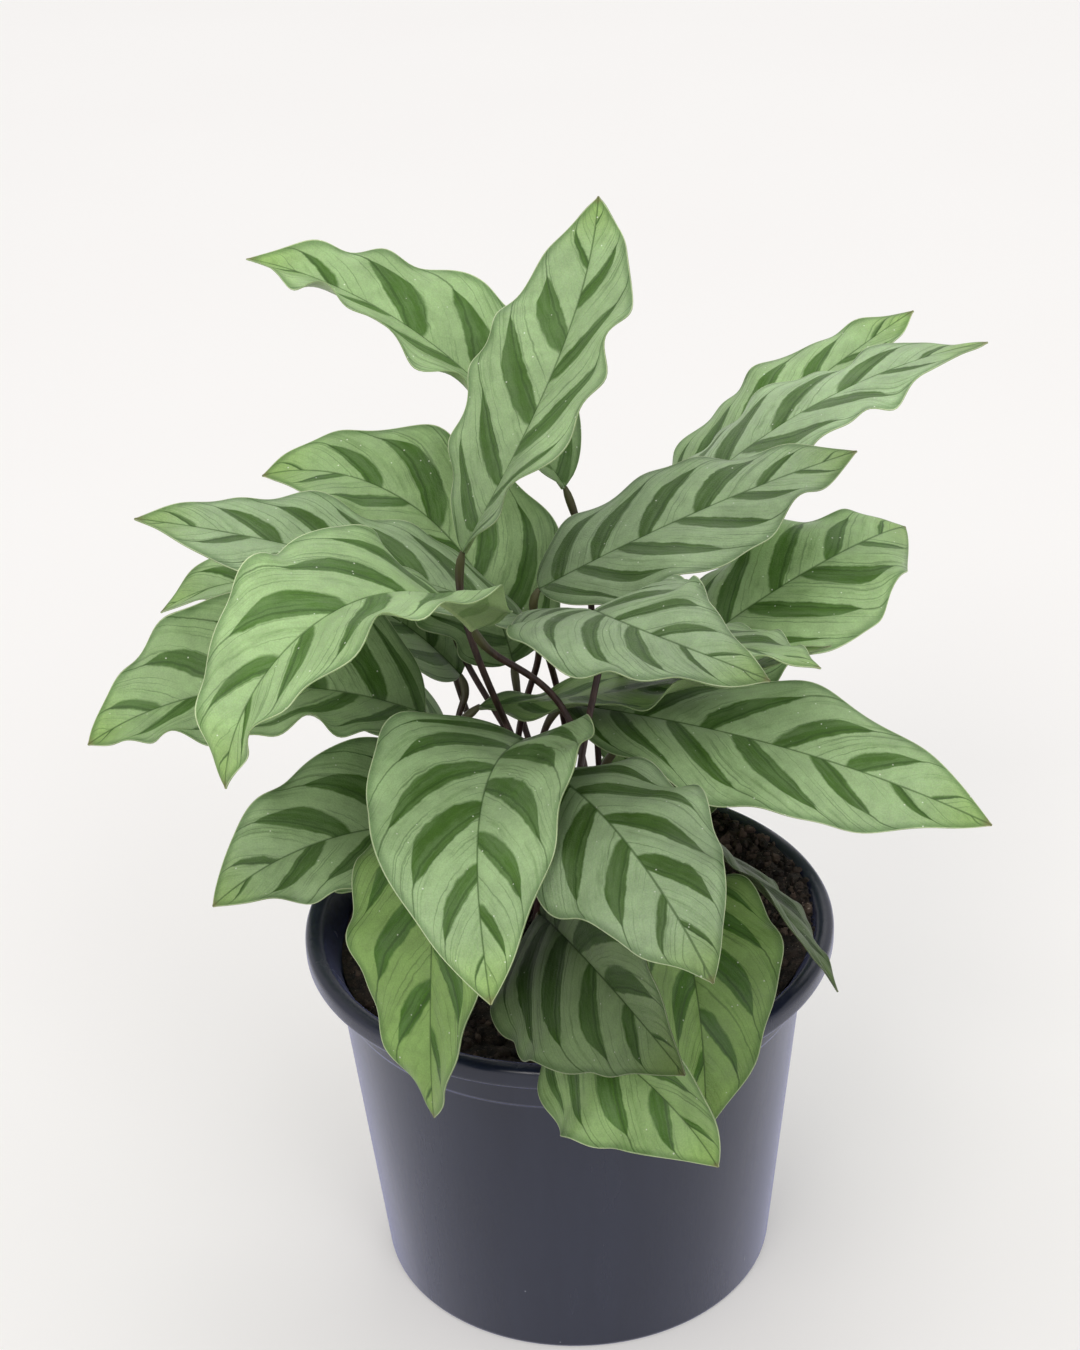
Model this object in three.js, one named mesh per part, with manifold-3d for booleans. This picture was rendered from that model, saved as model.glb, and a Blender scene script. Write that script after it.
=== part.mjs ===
// A potted calathea: banded leaves with waved edges on slim dark stalks, which rise in seven
// shoots from the soil of a nursery pot. Millimetres, +Z up. The origin is the middle of the
// pot's underside, and -Y is the front.
import * as THREE from 'three';
import { mergeVertices } from 'three/addons/utils/BufferGeometryUtils.js';
import Module from 'manifold-3d';

const wasm = await Module();
wasm.setup();

// Driving dimensions, in millimetres and degrees.

const pot = {
  height: 110,
  baseRadius: 57.5,
  wallTopRadius: 67.5,
  lipRadius: 75,
  lipDepth: 6,
  wall: 1.5,
  floor: 4.5,
  footWidth: 7.5,
  padRadius: 18,
  recess: 3,
  ledgeBelowLip: 12,
  ledgeStep: 0.7,
  edge: 1.3,
  holeCount: 8,
  holeRadius: 5,
  holeCircle: 34,
  sides: 40,
};

const soil = {
  top: 101,
  clearance: 0.35,
  rings: 6,
  lump: 0.8,
  lumpLength: 7,
  heap: 3,
};

const blade = {
  thickness: 0.8,
  baseRise: 0.55,
  tipFall: 0.95,
  leastHalfWidth: 0.8,
  droopPower: 1.2,
  steadyEnd: 0.2,
  steps: 60,
  stations: [0, 2, 6, 11, 16, 21, 26, 31, 36, 42, 48, 54, 60],
  columns: [-1, -0.55, 0, 0.55, 1],
};

const stalk = {
  radius: 1.1,
  rootHeight: 92,
  leanShare: 0.25,
  endShare: 0.22,
  uplift: 0.8,
  gap: 0.65,
  sides: 6,
  steps: 10,
};

const crown = { bottom: 84, top: 106, radius: 8, topRadius: 6.5, clearance: 0.35, sides: 12 };

// Middle of each shoot on the soil, seen from above.
const shoots = {
  shoot_1: [-15, -17],
  shoot_2: [11, -20],
  shoot_3: [27, 2],
  shoot_4: [-29, 5],
  shoot_5: [-13, 22],
  shoot_6: [13, 22],
  shoot_7: [0, 1],
};

// One row for each leaf. foot is where the blade starts. Its midrib leaves there toward heading
// at the angle rise, sinks by droop and turns by swing on its way to the tip. The blade leans
// sideways by tilt, and by twist more at the tip. Its halves lift from the midrib by liftLeft
// and liftRight, and curl by bend. Its margins wave up and down. The stalk rises from root
// in the shoot, leans off by lean, and passes toward via on its way to the foot, which it meets
// over the share hook of its reach, where that isn't the usual stalk.endShare.
const leaves = [
  { name: 'leaf_01', foot: [-24, -25, 236], length: 101, width: 49, heading: 18, swing: 66,
    rise: 57, droop: 19, tilt: -10, twist: 5, liftLeft: 17, liftRight: 19, bend: -8,
    wave: 1.6, waves: 2.7, phaseLeft: 290, phaseRight: 280,
    shoot: 'shoot_2', root: [11, -15], lean: [-32, 38], via: [17, -47, 157] },
  { name: 'leaf_02', foot: [3, 27, 230], length: 110, width: 50, heading: 162, swing: -3,
    rise: 56, droop: 51, tilt: -3, twist: -8, liftLeft: 22, liftRight: 22, bend: 4,
    wave: 1.8, waves: 2.4, phaseLeft: 250, phaseRight: 60,
    shoot: 'shoot_6', root: [15, 26], lean: [-7, -2], via: [9, 26, 201] },
  { name: 'leaf_03', foot: [-13, 21, 180], length: 98, width: 54, heading: 144, swing: 29,
    rise: 76, droop: 92, tilt: -23, twist: 2, liftLeft: 15, liftRight: 20, bend: -9,
    wave: 2.1, waves: 3.3, phaseLeft: 260, phaseRight: 110,
    shoot: 'shoot_7', root: [4, 4], lean: [11, 7], via: [-15, 21, 155] },
  { name: 'leaf_04', foot: [-9, 0, 204], length: 107, width: 50, heading: -171, swing: -10,
    rise: 29, droop: 20, tilt: 3, twist: -22, liftLeft: 15, liftRight: 14, bend: -16,
    wave: 1.9, waves: 3.0, phaseLeft: 170, phaseRight: 180,
    shoot: 'shoot_5', root: [-15, 18], lean: [8, 0], via: [-28, 14, 176] },
  { name: 'leaf_05', foot: [-28, 26, 174], length: 96, width: 50, heading: 168, swing: 8,
    rise: 51, droop: 87, tilt: -7, twist: -3, liftLeft: 17, liftRight: 18, bend: -10,
    wave: 1.9, waves: 3.0, phaseLeft: 230, phaseRight: 270,
    shoot: 'shoot_5', root: [-15, 26], lean: [2, 1], via: [-47, 28, 172] },
  { name: 'leaf_06', foot: [-22, -38, 221], length: 105, width: 53, heading: -130, swing: -16,
    rise: 53, droop: 138, tilt: -1, twist: -9, liftLeft: 20, liftRight: 19, bend: -5,
    wave: 1.7, waves: 3.5, phaseLeft: 170, phaseRight: 90,
    shoot: 'shoot_2', root: [8, -21], lean: [-10, -20], via: [25, -28, 219] },
  { name: 'leaf_07', foot: [-37, -7, 180], length: 95, width: 59, heading: -168, swing: -9,
    rise: 30, droop: 65, tilt: -13, twist: -21, liftLeft: 21, liftRight: 25, bend: 7,
    wave: 2.0, waves: 2.5, phaseLeft: 90, phaseRight: 200,
    shoot: 'shoot_7', root: [-4, -1], lean: [-7, -2], via: [-14, -4, 148] },
  { name: 'leaf_08', foot: [-19, -8, 141], length: 86, width: 53, heading: -160, swing: 3,
    rise: 29, droop: 64, tilt: -17, twist: -13, liftLeft: 17, liftRight: 20, bend: -8,
    wave: 1.9, waves: 2.9, phaseLeft: 220, phaseRight: 0,
    shoot: 'shoot_4', root: [-26, 1], lean: [5, -2], via: [-26, -5, 121] },
  { name: 'leaf_09', foot: [-10, -32, 185], length: 97, width: 60, heading: -113, swing: 35,
    rise: 21, droop: 81, tilt: 4, twist: 17, liftLeft: 20, liftRight: 24, bend: 1,
    wave: 2.0, waves: 2.6, phaseLeft: 0, phaseRight: 210,
    shoot: 'shoot_2', root: [7, -23], lean: [-4, 1], via: [7, -29, 89] },
  { name: 'leaf_10', foot: [-33, -26, 163], length: 96, width: 49, heading: -92, swing: -4,
    rise: 4, droop: 102, tilt: 24, twist: 19, liftLeft: 19, liftRight: 16, bend: -9,
    wave: 2.0, waves: 3.3, phaseLeft: 200, phaseRight: 220,
    shoot: 'shoot_2', root: [8, -16], lean: [-9, 11], via: [-3, -8, 147] },
  { name: 'leaf_11', foot: [-4, -58, 190], length: 87, width: 50, heading: -69, swing: 8,
    rise: 15, droop: 53, tilt: 3, twist: 1, liftLeft: 7, liftRight: -19, bend: -19,
    wave: 2.8, waves: 3.5, phaseLeft: 280, phaseRight: 320,
    shoot: 'shoot_1', root: [-13, -21], lean: [1, -7], via: [-4, -50, 152] },
  { name: 'leaf_12', foot: [1, -6, 181], length: 118, width: 50, heading: -15, swing: -1,
    rise: -3, droop: 20, tilt: -4, twist: 43, liftLeft: 12, liftRight: 10, bend: -24,
    wave: 2.3, waves: 3.0, phaseLeft: 240, phaseRight: 220,
    shoot: 'shoot_5', root: [-13, 20], lean: [0, 10], via: [0, -3, 135] },
  { name: 'leaf_13', foot: [11, -31, 219], length: 87, width: 47, heading: -112, swing: 101,
    rise: 36, droop: 59, tilt: 4, twist: 14, liftLeft: 14, liftRight: 12, bend: -20,
    wave: 1.9, waves: 2.7, phaseLeft: 190, phaseRight: 50,
    shoot: 'shoot_2', root: [9, -17], lean: [-1, 5], via: [-12, -69, 171], hook: 0.15 },
  { name: 'leaf_14', foot: [-22, -11, 184], length: 95, width: 36, heading: -5, swing: -1,
    rise: 5, droop: -14, tilt: -22, twist: -1, liftLeft: -4, liftRight: -20, bend: 29,
    wave: 2.2, waves: 3.4, phaseLeft: 70, phaseRight: 80,
    shoot: 'shoot_7', root: [3, 1], lean: [3, 2], via: [-30, 21, 166] },
  { name: 'leaf_15', foot: [32, 27, 174], length: 92, width: 54, heading: -5, swing: 64,
    rise: 44, droop: 64, tilt: 9, twist: 14, liftLeft: 10, liftRight: 7, bend: -32,
    wave: 2.4, waves: 2.7, phaseLeft: 320, phaseRight: 100,
    shoot: 'shoot_3', root: [30, 6], lean: [-2, 7], via: [37, 13, 134] },
  { name: 'leaf_16', foot: [18, 2, 191], length: 69, width: 45, heading: -52, swing: 15,
    rise: 31, droop: 35, tilt: -12, twist: -10, liftLeft: 19, liftRight: 9, bend: -23,
    wave: 1.1, waves: 3.8, phaseLeft: 350, phaseRight: 50,
    shoot: 'shoot_4', root: [-28, 2], lean: [47, 3], via: [-13, 67, 167] },
  { name: 'leaf_17', foot: [-5, -11, 218], length: 91, width: 48, heading: 12, swing: 1,
    rise: 23, droop: 12, tilt: 7, twist: 6, liftLeft: 12, liftRight: 10, bend: -24,
    wave: 2.0, waves: 2.6, phaseLeft: 340, phaseRight: 100,
    shoot: 'shoot_6', root: [9, 22], lean: [-9, -2], via: [7, 13, 192], hook: 0.1 },
  { name: 'leaf_18', foot: [31, 36, 216], length: 101, width: 50, heading: 9, swing: -7,
    rise: 42, droop: 34, tilt: -1, twist: 0, liftLeft: 11, liftRight: 11, bend: -24,
    wave: 1.9, waves: 2.9, phaseLeft: 20, phaseRight: 270,
    shoot: 'shoot_6', root: [16, 18], lean: [1, -3], via: [23, 18, 156] },
  { name: 'leaf_19', foot: [28, 60, 198], length: 100, width: 51, heading: 4, swing: 18,
    rise: 49, droop: 26, tilt: 2, twist: 5, liftLeft: 12, liftRight: 12, bend: -22,
    wave: 1.6, waves: 3.0, phaseLeft: 220, phaseRight: 330,
    shoot: 'shoot_6', root: [10, 26], lean: [-6, 6], via: [-10, 44, 171] },
  { name: 'leaf_20', foot: [-8, -56, 147], length: 87, width: 61, heading: -79, swing: 23,
    rise: 23, droop: 43, tilt: 35, twist: 14, liftLeft: 47, liftRight: -3, bend: -16,
    wave: 2.1, waves: 2.8, phaseLeft: 260, phaseRight: 260,
    shoot: 'shoot_2', root: [8, -24], lean: [-6, -7], via: [1, -46, 128] },
  { name: 'leaf_21', foot: [-6, -66, 120], length: 70, width: 50, heading: -66, swing: 33,
    rise: 28, droop: 84, tilt: 53, twist: -12, liftLeft: 53, liftRight: -4, bend: -3,
    wave: 2.8, waves: 2.7, phaseLeft: 40, phaseRight: 0,
    shoot: 'shoot_2', root: [8, -24], lean: [-6, -11], via: [4, -44, 107] },
  { name: 'leaf_22', foot: [21, -32, 139], length: 87, width: 50, heading: -73, swing: -20,
    rise: 22, droop: 97, tilt: -12, twist: -16, liftLeft: 17, liftRight: 25, bend: 0,
    wave: 2.0, waves: 3.0, phaseLeft: 270, phaseRight: 40,
    shoot: 'shoot_2', root: [14, -24], lean: [1, -1], via: [18, -32, 115] },
  { name: 'leaf_23', foot: [37, 10, 126], length: 77, width: 34, heading: -72, swing: 19,
    rise: 23, droop: 66, tilt: -37, twist: 4, liftLeft: 3, liftRight: 25, bend: -15,
    wave: 1.0, waves: 3.1, phaseLeft: 170, phaseRight: 90,
    shoot: 'shoot_3', root: [31, 5], lean: [1, 3], via: [35, 4, 114] },
  { name: 'leaf_24', foot: [15, -2, 164], length: 97, width: 42, heading: -6, swing: 14,
    rise: 2, droop: 39, tilt: -14, twist: 16, liftLeft: 4, liftRight: 27, bend: -18,
    wave: 1.4, waves: 3.4, phaseLeft: 110, phaseRight: 310,
    shoot: 'shoot_3', root: [23, -1], lean: [-4, 0], via: [15, -2, 132] },
  { name: 'leaf_25', foot: [27, 20, 135], length: 99, width: 46, heading: 88, swing: -11,
    rise: 40, droop: 72, tilt: 3, twist: -2, liftLeft: 19, liftRight: 19, bend: -18,
    wave: 1.9, waves: 3.2, phaseLeft: 150, phaseRight: 210,
    shoot: 'shoot_6', root: [17, 20], lean: [3, -2], via: [20, 24, 111] },
  { name: 'leaf_26', foot: [26, 38, 126], length: 97, width: 49, heading: 34, swing: -18,
    rise: 23, droop: 72, tilt: 7, twist: -6, liftLeft: 22, liftRight: 9, bend: -18,
    wave: 1.5, waves: 3.0, phaseLeft: 200, phaseRight: 150,
    shoot: 'shoot_6', root: [16, 26], lean: [2, 3], via: [21, 31, 105] },
  { name: 'leaf_27', foot: [-25, 36, 123], length: 99, width: 45, heading: 78, swing: 6,
    rise: 8, droop: 104, tilt: -10, twist: 1, liftLeft: 20, liftRight: 17, bend: -18,
    wave: 2.2, waves: 3.3, phaseLeft: 140, phaseRight: 350,
    shoot: 'shoot_5', root: [-16, 26], lean: [-4, 1], via: [-19, 34, 110] },
  { name: 'leaf_28', foot: [-27, 8, 108], length: 85, width: 46, heading: 155, swing: -13,
    rise: 32, droop: 85, tilt: -7, twist: 9, liftLeft: 15, liftRight: 20, bend: -18,
    wave: 1.8, waves: 3.3, phaseLeft: 220, phaseRight: 240,
    shoot: 'shoot_4', root: [-26, 7], lean: [0, 0], via: [-27, 8, 94] },
  { name: 'leaf_29', foot: [21, 39, 113], length: 95, width: 50, heading: 60, swing: -7,
    rise: 18, droop: 74, tilt: -3, twist: -9, liftLeft: 19, liftRight: 11, bend: -18,
    wave: 2.0, waves: 3.4, phaseLeft: 150, phaseRight: 130,
    shoot: 'shoot_6', root: [16, 26], lean: [1, 2], via: [20, 36, 107] },
  { name: 'leaf_30', foot: [32, 33, 161], length: 80, width: 43, heading: 55, swing: 15,
    rise: 39, droop: 111, tilt: 6, twist: -9, liftLeft: 16, liftRight: 21, bend: -18,
    wave: 1.7, waves: 3.4, phaseLeft: 320, phaseRight: 60,
    shoot: 'shoot_7', root: [4, 3], lean: [5, 8], via: [22, 9, 137] },
  { name: 'leaf_31', foot: [-32, 48, 173], length: 83, width: 43, heading: 109, swing: -10,
    rise: 51, droop: 112, tilt: -9, twist: 4, liftLeft: 16, liftRight: 20, bend: -18,
    wave: 1.8, waves: 2.8, phaseLeft: 90, phaseRight: 30,
    shoot: 'shoot_7', root: [1, -1], lean: [-9, -1], via: [-19, 11, 153] },
  { name: 'leaf_32', foot: [30, 41, 137], length: 95, width: 43, heading: 63, swing: 15,
    rise: 22, droop: 68, tilt: -5, twist: 6, liftLeft: 14, liftRight: 18, bend: -18,
    wave: 1.8, waves: 2.7, phaseLeft: 180, phaseRight: 50,
    shoot: 'shoot_6', root: [17, 25], lean: [3, 1], via: [26, 34, 125] },
  { name: 'leaf_33', foot: [-34, 38, 148], length: 97, width: 47, heading: 165, swing: -16,
    rise: 22, droop: 44, tilt: 4, twist: -10, liftLeft: 22, liftRight: 12, bend: -18,
    wave: 1.6, waves: 2.6, phaseLeft: 140, phaseRight: 330,
    shoot: 'shoot_5', root: [-17, 24], lean: [-2, 3], via: [-26, 27, 110] },
  { name: 'leaf_34', foot: [-31, 33, 195], length: 92, width: 46, heading: 93, swing: 14,
    rise: 40, droop: 73, tilt: 3, twist: 6, liftLeft: 20, liftRight: 9, bend: -18,
    wave: 1.8, waves: 2.8, phaseLeft: 230, phaseRight: 60,
    shoot: 'shoot_6', root: [9, 22], lean: [-11, 1], via: [-9, 24, 160] },
];

// Geometry helpers.

const radians = (degrees) => degrees * Math.PI / 180;

// A geometry as a manifold solid: only positions are kept, and equal corners become one.
function toSolid(geometry) {
  const bare = geometry.clone();
  bare.deleteAttribute('normal');
  bare.deleteAttribute('uv');
  const merged = mergeVertices(bare, 1e-4);
  return new wasm.Manifold(new wasm.Mesh({
    numProp: 3,
    vertProperties: new Float32Array(merged.attributes.position.array),
    triVerts: new Uint32Array(merged.index.array),
  }));
}

function toGeometry(solid) {
  const mesh = solid.getMesh();
  return fromArrays(mesh.vertProperties, mesh.triVerts);
}

function fromArrays(corners, triangles) {
  const geometry = new THREE.BufferGeometry();
  geometry.setAttribute('position', new THREE.BufferAttribute(new Float32Array(corners), 3));
  geometry.setIndex(new THREE.BufferAttribute(new Uint32Array(triangles), 1));
  geometry.computeVertexNormals();
  return geometry;
}

// A solid of revolution about Z from [radius, height] pairs that start and end on the axis.
function turned(profile, sides) {
  const points = profile.map(([radius, height]) => new THREE.Vector2(radius, height));
  return new THREE.LatheGeometry(points, sides).rotateX(Math.PI / 2);
}

function uprightCylinder(x, y, bottom, top, radius, topRadius, sides) {
  const cylinder = new THREE.CylinderGeometry(topRadius, radius, top - bottom, sides);
  return cylinder.rotateX(Math.PI / 2).translate(x, y, (top + bottom) / 2);
}

// Pot: a tapering thin wall with a step under a broad rolled lip, and a floor on a foot ring
// and a middle pad, with drainage holes between them.

function innerRadius(height) {
  const rise = (height - pot.floor) / (pot.height - pot.lipDepth - pot.floor);
  const bottom = pot.baseRadius - pot.wall;
  return bottom + (pot.wallTopRadius - pot.wall - bottom) * rise;
}

function makePot() {
  const lipBottom = pot.height - pot.lipDepth;
  const ledge = lipBottom - pot.ledgeBelowLip;
  const outer = (height) => innerRadius(height) + pot.wall;
  const profile = [
    [0, 0],
    [pot.padRadius, 0],
    [pot.padRadius + 1, pot.recess],
    [pot.baseRadius - pot.footWidth - 2, pot.recess],
    [pot.baseRadius - pot.footWidth, 0],
    [pot.baseRadius - 1, 0],
    [pot.baseRadius, 1],
    [outer(ledge), ledge],
    [outer(ledge) + pot.ledgeStep, ledge + 1],
    [outer(lipBottom) + pot.ledgeStep, lipBottom],
    [pot.lipRadius - pot.edge, lipBottom],
    [pot.lipRadius, lipBottom + pot.edge],
    [pot.lipRadius, pot.height - pot.edge],
    [pot.lipRadius - pot.edge, pot.height],
    [pot.lipRadius - 3 * pot.edge, pot.height],
    [pot.lipRadius - 4 * pot.edge, pot.height - pot.edge],
    [innerRadius(lipBottom), lipBottom - pot.edge],
    [innerRadius(pot.floor), pot.floor],
    [0, pot.floor],
  ];
  let solid = toSolid(turned(profile, pot.sides));
  for (let hole = 0; hole < pot.holeCount; hole += 1) {
    const angle = 2 * Math.PI * hole / pot.holeCount;
    const x = pot.holeCircle * Math.cos(angle);
    const y = pot.holeCircle * Math.sin(angle);
    const drill = uprightCylinder(x, y, -1, pot.floor + 1, pot.holeRadius, pot.holeRadius, 12);
    solid = solid.subtract(toSolid(drill));
  }
  return toGeometry(solid);
}

// Leaf: a midrib that sinks and turns, two halves that lift from it and curl, waved margins.

function midribDirection(leaf, share) {
  const pitch = radians(leaf.rise - leaf.droop * share ** blade.droopPower);
  const heading = radians(leaf.heading + leaf.swing * share);
  return new THREE.Vector3(
    Math.cos(pitch) * Math.cos(heading), Math.cos(pitch) * Math.sin(heading), Math.sin(pitch));
}

// The midrib's points at blade.steps + 1 equal shares of its length.
function midribPoints(leaf) {
  const points = [new THREE.Vector3(...leaf.foot)];
  for (let step = 1; step <= blade.steps; step += 1) {
    const run = midribDirection(leaf, (step - 1) / blade.steps)
      .add(midribDirection(leaf, step / blade.steps))
      .multiplyScalar(0.5 * leaf.length / blade.steps);
    points.push(points[step - 1].clone().add(run));
  }
  return points;
}

// Share of the full half width: it rises fast from the foot and falls nearly straight to the tip.
function widthShare(share) {
  const widest = blade.baseRise / (blade.baseRise + blade.tipFall);
  return (share / widest) ** blade.baseRise * ((1 - share) / (1 - widest)) ** blade.tipFall;
}

// A point of the blade's middle surface. across is 1 on the left margin and -1 on the right.
function bladePoint(leaf, middle, share, across) {
  const forward = midribDirection(leaf, share);
  const heading = radians(leaf.heading + leaf.swing * share);
  const level = new THREE.Vector3(-Math.sin(heading), Math.cos(heading), 0);
  const roll = radians(leaf.tilt + leaf.twist * share);
  const left = level.clone().applyAxisAngle(forward, roll);
  const up = forward.clone().cross(left);
  const onLeft = across >= 0;
  const away = Math.abs(across);
  const halfWidth = Math.max(0.5 * leaf.width * widthShare(share), blade.leastHalfWidth);
  const lift = radians((onLeft ? leaf.liftLeft : leaf.liftRight) + leaf.bend * away / 2);
  const phase = radians(onLeft ? leaf.phaseLeft : leaf.phaseRight);
  const steady = Math.min(1, share / blade.steadyEnd) * Math.min(1, (1 - share) / blade.steadyEnd);
  const ripple = leaf.wave * away ** 2 * Math.sin(2 * Math.PI * leaf.waves * share + phase) * steady;
  return middle.clone()
    .addScaledVector(left, halfWidth * across * Math.cos(lift))
    .addScaledVector(up, halfWidth * away * Math.sin(lift) + ripple);
}

// The blade as a closed sheet: a grid of points set off to both sides by half the thickness,
// with the same diagonals on both faces, and a rim that joins their borders.
function makeBlade(leaf) {
  const middles = midribPoints(leaf);
  const grid = blade.stations.map((station) => blade.columns.map((across) =>
    bladePoint(leaf, middles[station], station / blade.steps, across)));
  const rows = grid.length;
  const columns = blade.columns.length;
  const corners = [];
  for (const side of [1, -1]) {
    for (let row = 0; row < rows; row += 1) {
      for (let column = 0; column < columns; column += 1) {
        const along = grid[Math.min(row + 1, rows - 1)][column].clone()
          .sub(grid[Math.max(row - 1, 0)][column]);
        const sideways = grid[row][Math.min(column + 1, columns - 1)].clone()
          .sub(grid[row][Math.max(column - 1, 0)]);
        const normal = along.cross(sideways).normalize();
        const corner = grid[row][column].clone()
          .addScaledVector(normal, side * blade.thickness / 2);
        corners.push(corner.x, corner.y, corner.z);
      }
    }
  }
  const count = rows * columns;
  const triangles = [];
  for (let row = 0; row < rows - 1; row += 1) {
    for (let column = 0; column < columns - 1; column += 1) {
      const a = row * columns + column;
      const b = a + 1;
      const c = a + columns;
      const d = c + 1;
      triangles.push(a, c, b, b, c, d);
      triangles.push(a + count, b + count, c + count, b + count, d + count, c + count);
    }
  }
  const border = [];
  for (let column = 0; column < columns - 1; column += 1) border.push(column);
  for (let row = 0; row < rows - 1; row += 1) border.push(row * columns + columns - 1);
  for (let column = columns - 1; column > 0; column -= 1) border.push((rows - 1) * columns + column);
  for (let row = rows - 1; row > 0; row -= 1) border.push(row * columns);
  border.forEach((corner, index) => {
    const next = border[(index + 1) % border.length];
    triangles.push(corner, next, next + count, corner, next + count, corner + count);
  });
  return fromArrays(corners, triangles);
}

// Stalk: a round rod along a curve with five control points, from the shoot to the blade's foot.

class StalkCurve extends THREE.Curve {
  constructor(leaf) {
    super();
    const end = midribDirection(leaf, 0).add(new THREE.Vector3(0, 0, stalk.uplift)).normalize();
    const foot = new THREE.Vector3(...leaf.foot).addScaledVector(end, -stalk.gap);
    const root = new THREE.Vector3(...leaf.root, stalk.rootHeight);
    const rise = foot.z - root.z;
    const reach = foot.distanceTo(root);
    this.controls = [
      root,
      root.clone().add(new THREE.Vector3(...leaf.lean, stalk.leanShare * rise)),
      new THREE.Vector3(...leaf.via),
      foot.clone().addScaledVector(end, -(leaf.hook ?? stalk.endShare) * reach),
      foot,
    ];
  }

  getPoint(share, target = new THREE.Vector3()) {
    let points = this.controls;
    while (points.length > 1) {
      points = points.slice(1).map((point, index) => points[index].clone().lerp(point, share));
    }
    return target.copy(points[0]);
  }
}

function makeRod(leaf, radius) {
  const section = new THREE.Shape();
  for (let side = 0; side < stalk.sides; side += 1) {
    const angle = 2 * Math.PI * side / stalk.sides;
    const x = radius * Math.cos(angle);
    const y = radius * Math.sin(angle);
    if (side === 0) section.moveTo(x, y);
    else section.lineTo(x, y);
  }
  return new THREE.ExtrudeGeometry(section, {
    extrudePath: new StalkCurve(leaf),
    steps: stalk.steps,
    bevelEnabled: false,
  });
}

// Shoot: its stalks and the short round crown that they rise from, as one solid.

function makeShoot(name) {
  const [x, y] = shoots[name];
  let solid = toSolid(
    uprightCylinder(x, y, crown.bottom, crown.top, crown.radius, crown.topRadius, crown.sides));
  for (const leaf of leaves.filter((row) => row.shoot === name)) {
    solid = solid.add(toSolid(makeRod(leaf, stalk.radius)));
  }
  return toGeometry(solid);
}

// Soil: it fills the pot to a lumpy top that is heaped toward the right and the back, and has a
// plain round hole for each shoot.

function soilHeight(x, y) {
  const lumps = Math.sin(x / soil.lumpLength + 1) * Math.cos(y / soil.lumpLength)
    + Math.sin((x + y) / (2 * soil.lumpLength));
  return soil.top + soil.lump * lumps + soil.heap * (x + y) / pot.wallTopRadius;
}

function makeSoil() {
  const bottom = pot.floor + soil.clearance;
  const edge = innerRadius(soil.top - 2 * soil.heap) - soil.clearance;
  const profile = [[0, bottom], [innerRadius(bottom) - soil.clearance, bottom]];
  for (let ring = 0; ring <= soil.rings; ring += 1) {
    profile.push([edge * (1 - ring / soil.rings), soil.top]);
  }
  const body = turned(profile, pot.sides);
  const position = body.attributes.position;
  for (let index = 0; index < position.count; index += 1) {
    const height = position.getZ(index);
    if (Math.abs(height - soil.top) < 0.1) {
      position.setZ(index, soilHeight(position.getX(index), position.getY(index)));
    }
  }
  let solid = toSolid(body);
  for (const [x, y] of Object.values(shoots)) {
    const radius = crown.radius + crown.clearance;
    solid = solid.subtract(toSolid(uprightCylinder(
      x, y, crown.bottom - crown.clearance, pot.height, radius, radius, crown.sides)));
  }
  for (const leaf of leaves) {
    solid = solid.subtract(toSolid(makeRod(leaf, stalk.radius + crown.clearance)));
  }
  return toGeometry(solid);
}

// The plant in its pot.

const materials = {
  pot: { color: '#3f424e', roughness: 0.38 },
  soil: { color: '#2b221d', roughness: 0.95 },
  stalk: { color: '#4b2a2c', roughness: 0.45 },
  blade: { color: '#7c9a5e', roughness: 0.5 },
};

const group = new THREE.Group();

function place(name, geometry, look) {
  const material = new THREE.MeshStandardMaterial({ ...materials[look], metalness: 0 });
  const mesh = new THREE.Mesh(geometry, material);
  mesh.name = name;
  group.add(mesh);
}

place('pot', makePot(), 'pot');
place('soil', makeSoil(), 'soil');
for (const name of Object.keys(shoots)) place(name, makeShoot(name), 'stalk');
for (const leaf of leaves) place(leaf.name, makeBlade(leaf), 'blade');

export default group;
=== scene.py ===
# A potted calathea: banded leaves with waved edges on slim dark stalks, which rise in seven
# shoots from the soil of a nursery pot. Written for Blender 4.5. Sizes are in millimetres.
import math
from functools import partial

import bmesh
import bpy
import numpy as np
from mathutils import Matrix


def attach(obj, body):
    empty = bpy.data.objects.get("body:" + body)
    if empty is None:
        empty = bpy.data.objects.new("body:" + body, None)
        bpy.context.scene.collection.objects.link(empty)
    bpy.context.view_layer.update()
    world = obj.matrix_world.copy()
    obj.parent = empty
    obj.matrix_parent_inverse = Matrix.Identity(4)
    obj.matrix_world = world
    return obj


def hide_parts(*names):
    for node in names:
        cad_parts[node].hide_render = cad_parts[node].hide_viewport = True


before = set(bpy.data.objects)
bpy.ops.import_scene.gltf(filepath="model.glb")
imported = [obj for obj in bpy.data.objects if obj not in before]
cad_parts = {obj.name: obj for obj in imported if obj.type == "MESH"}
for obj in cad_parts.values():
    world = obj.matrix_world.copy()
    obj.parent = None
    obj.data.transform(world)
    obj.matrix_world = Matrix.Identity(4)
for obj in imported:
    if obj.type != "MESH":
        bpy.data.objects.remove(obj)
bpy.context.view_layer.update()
mm = 0.001
chance = np.random.default_rng(11)
print("frame loaded, nodes:", len(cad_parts))

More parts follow.
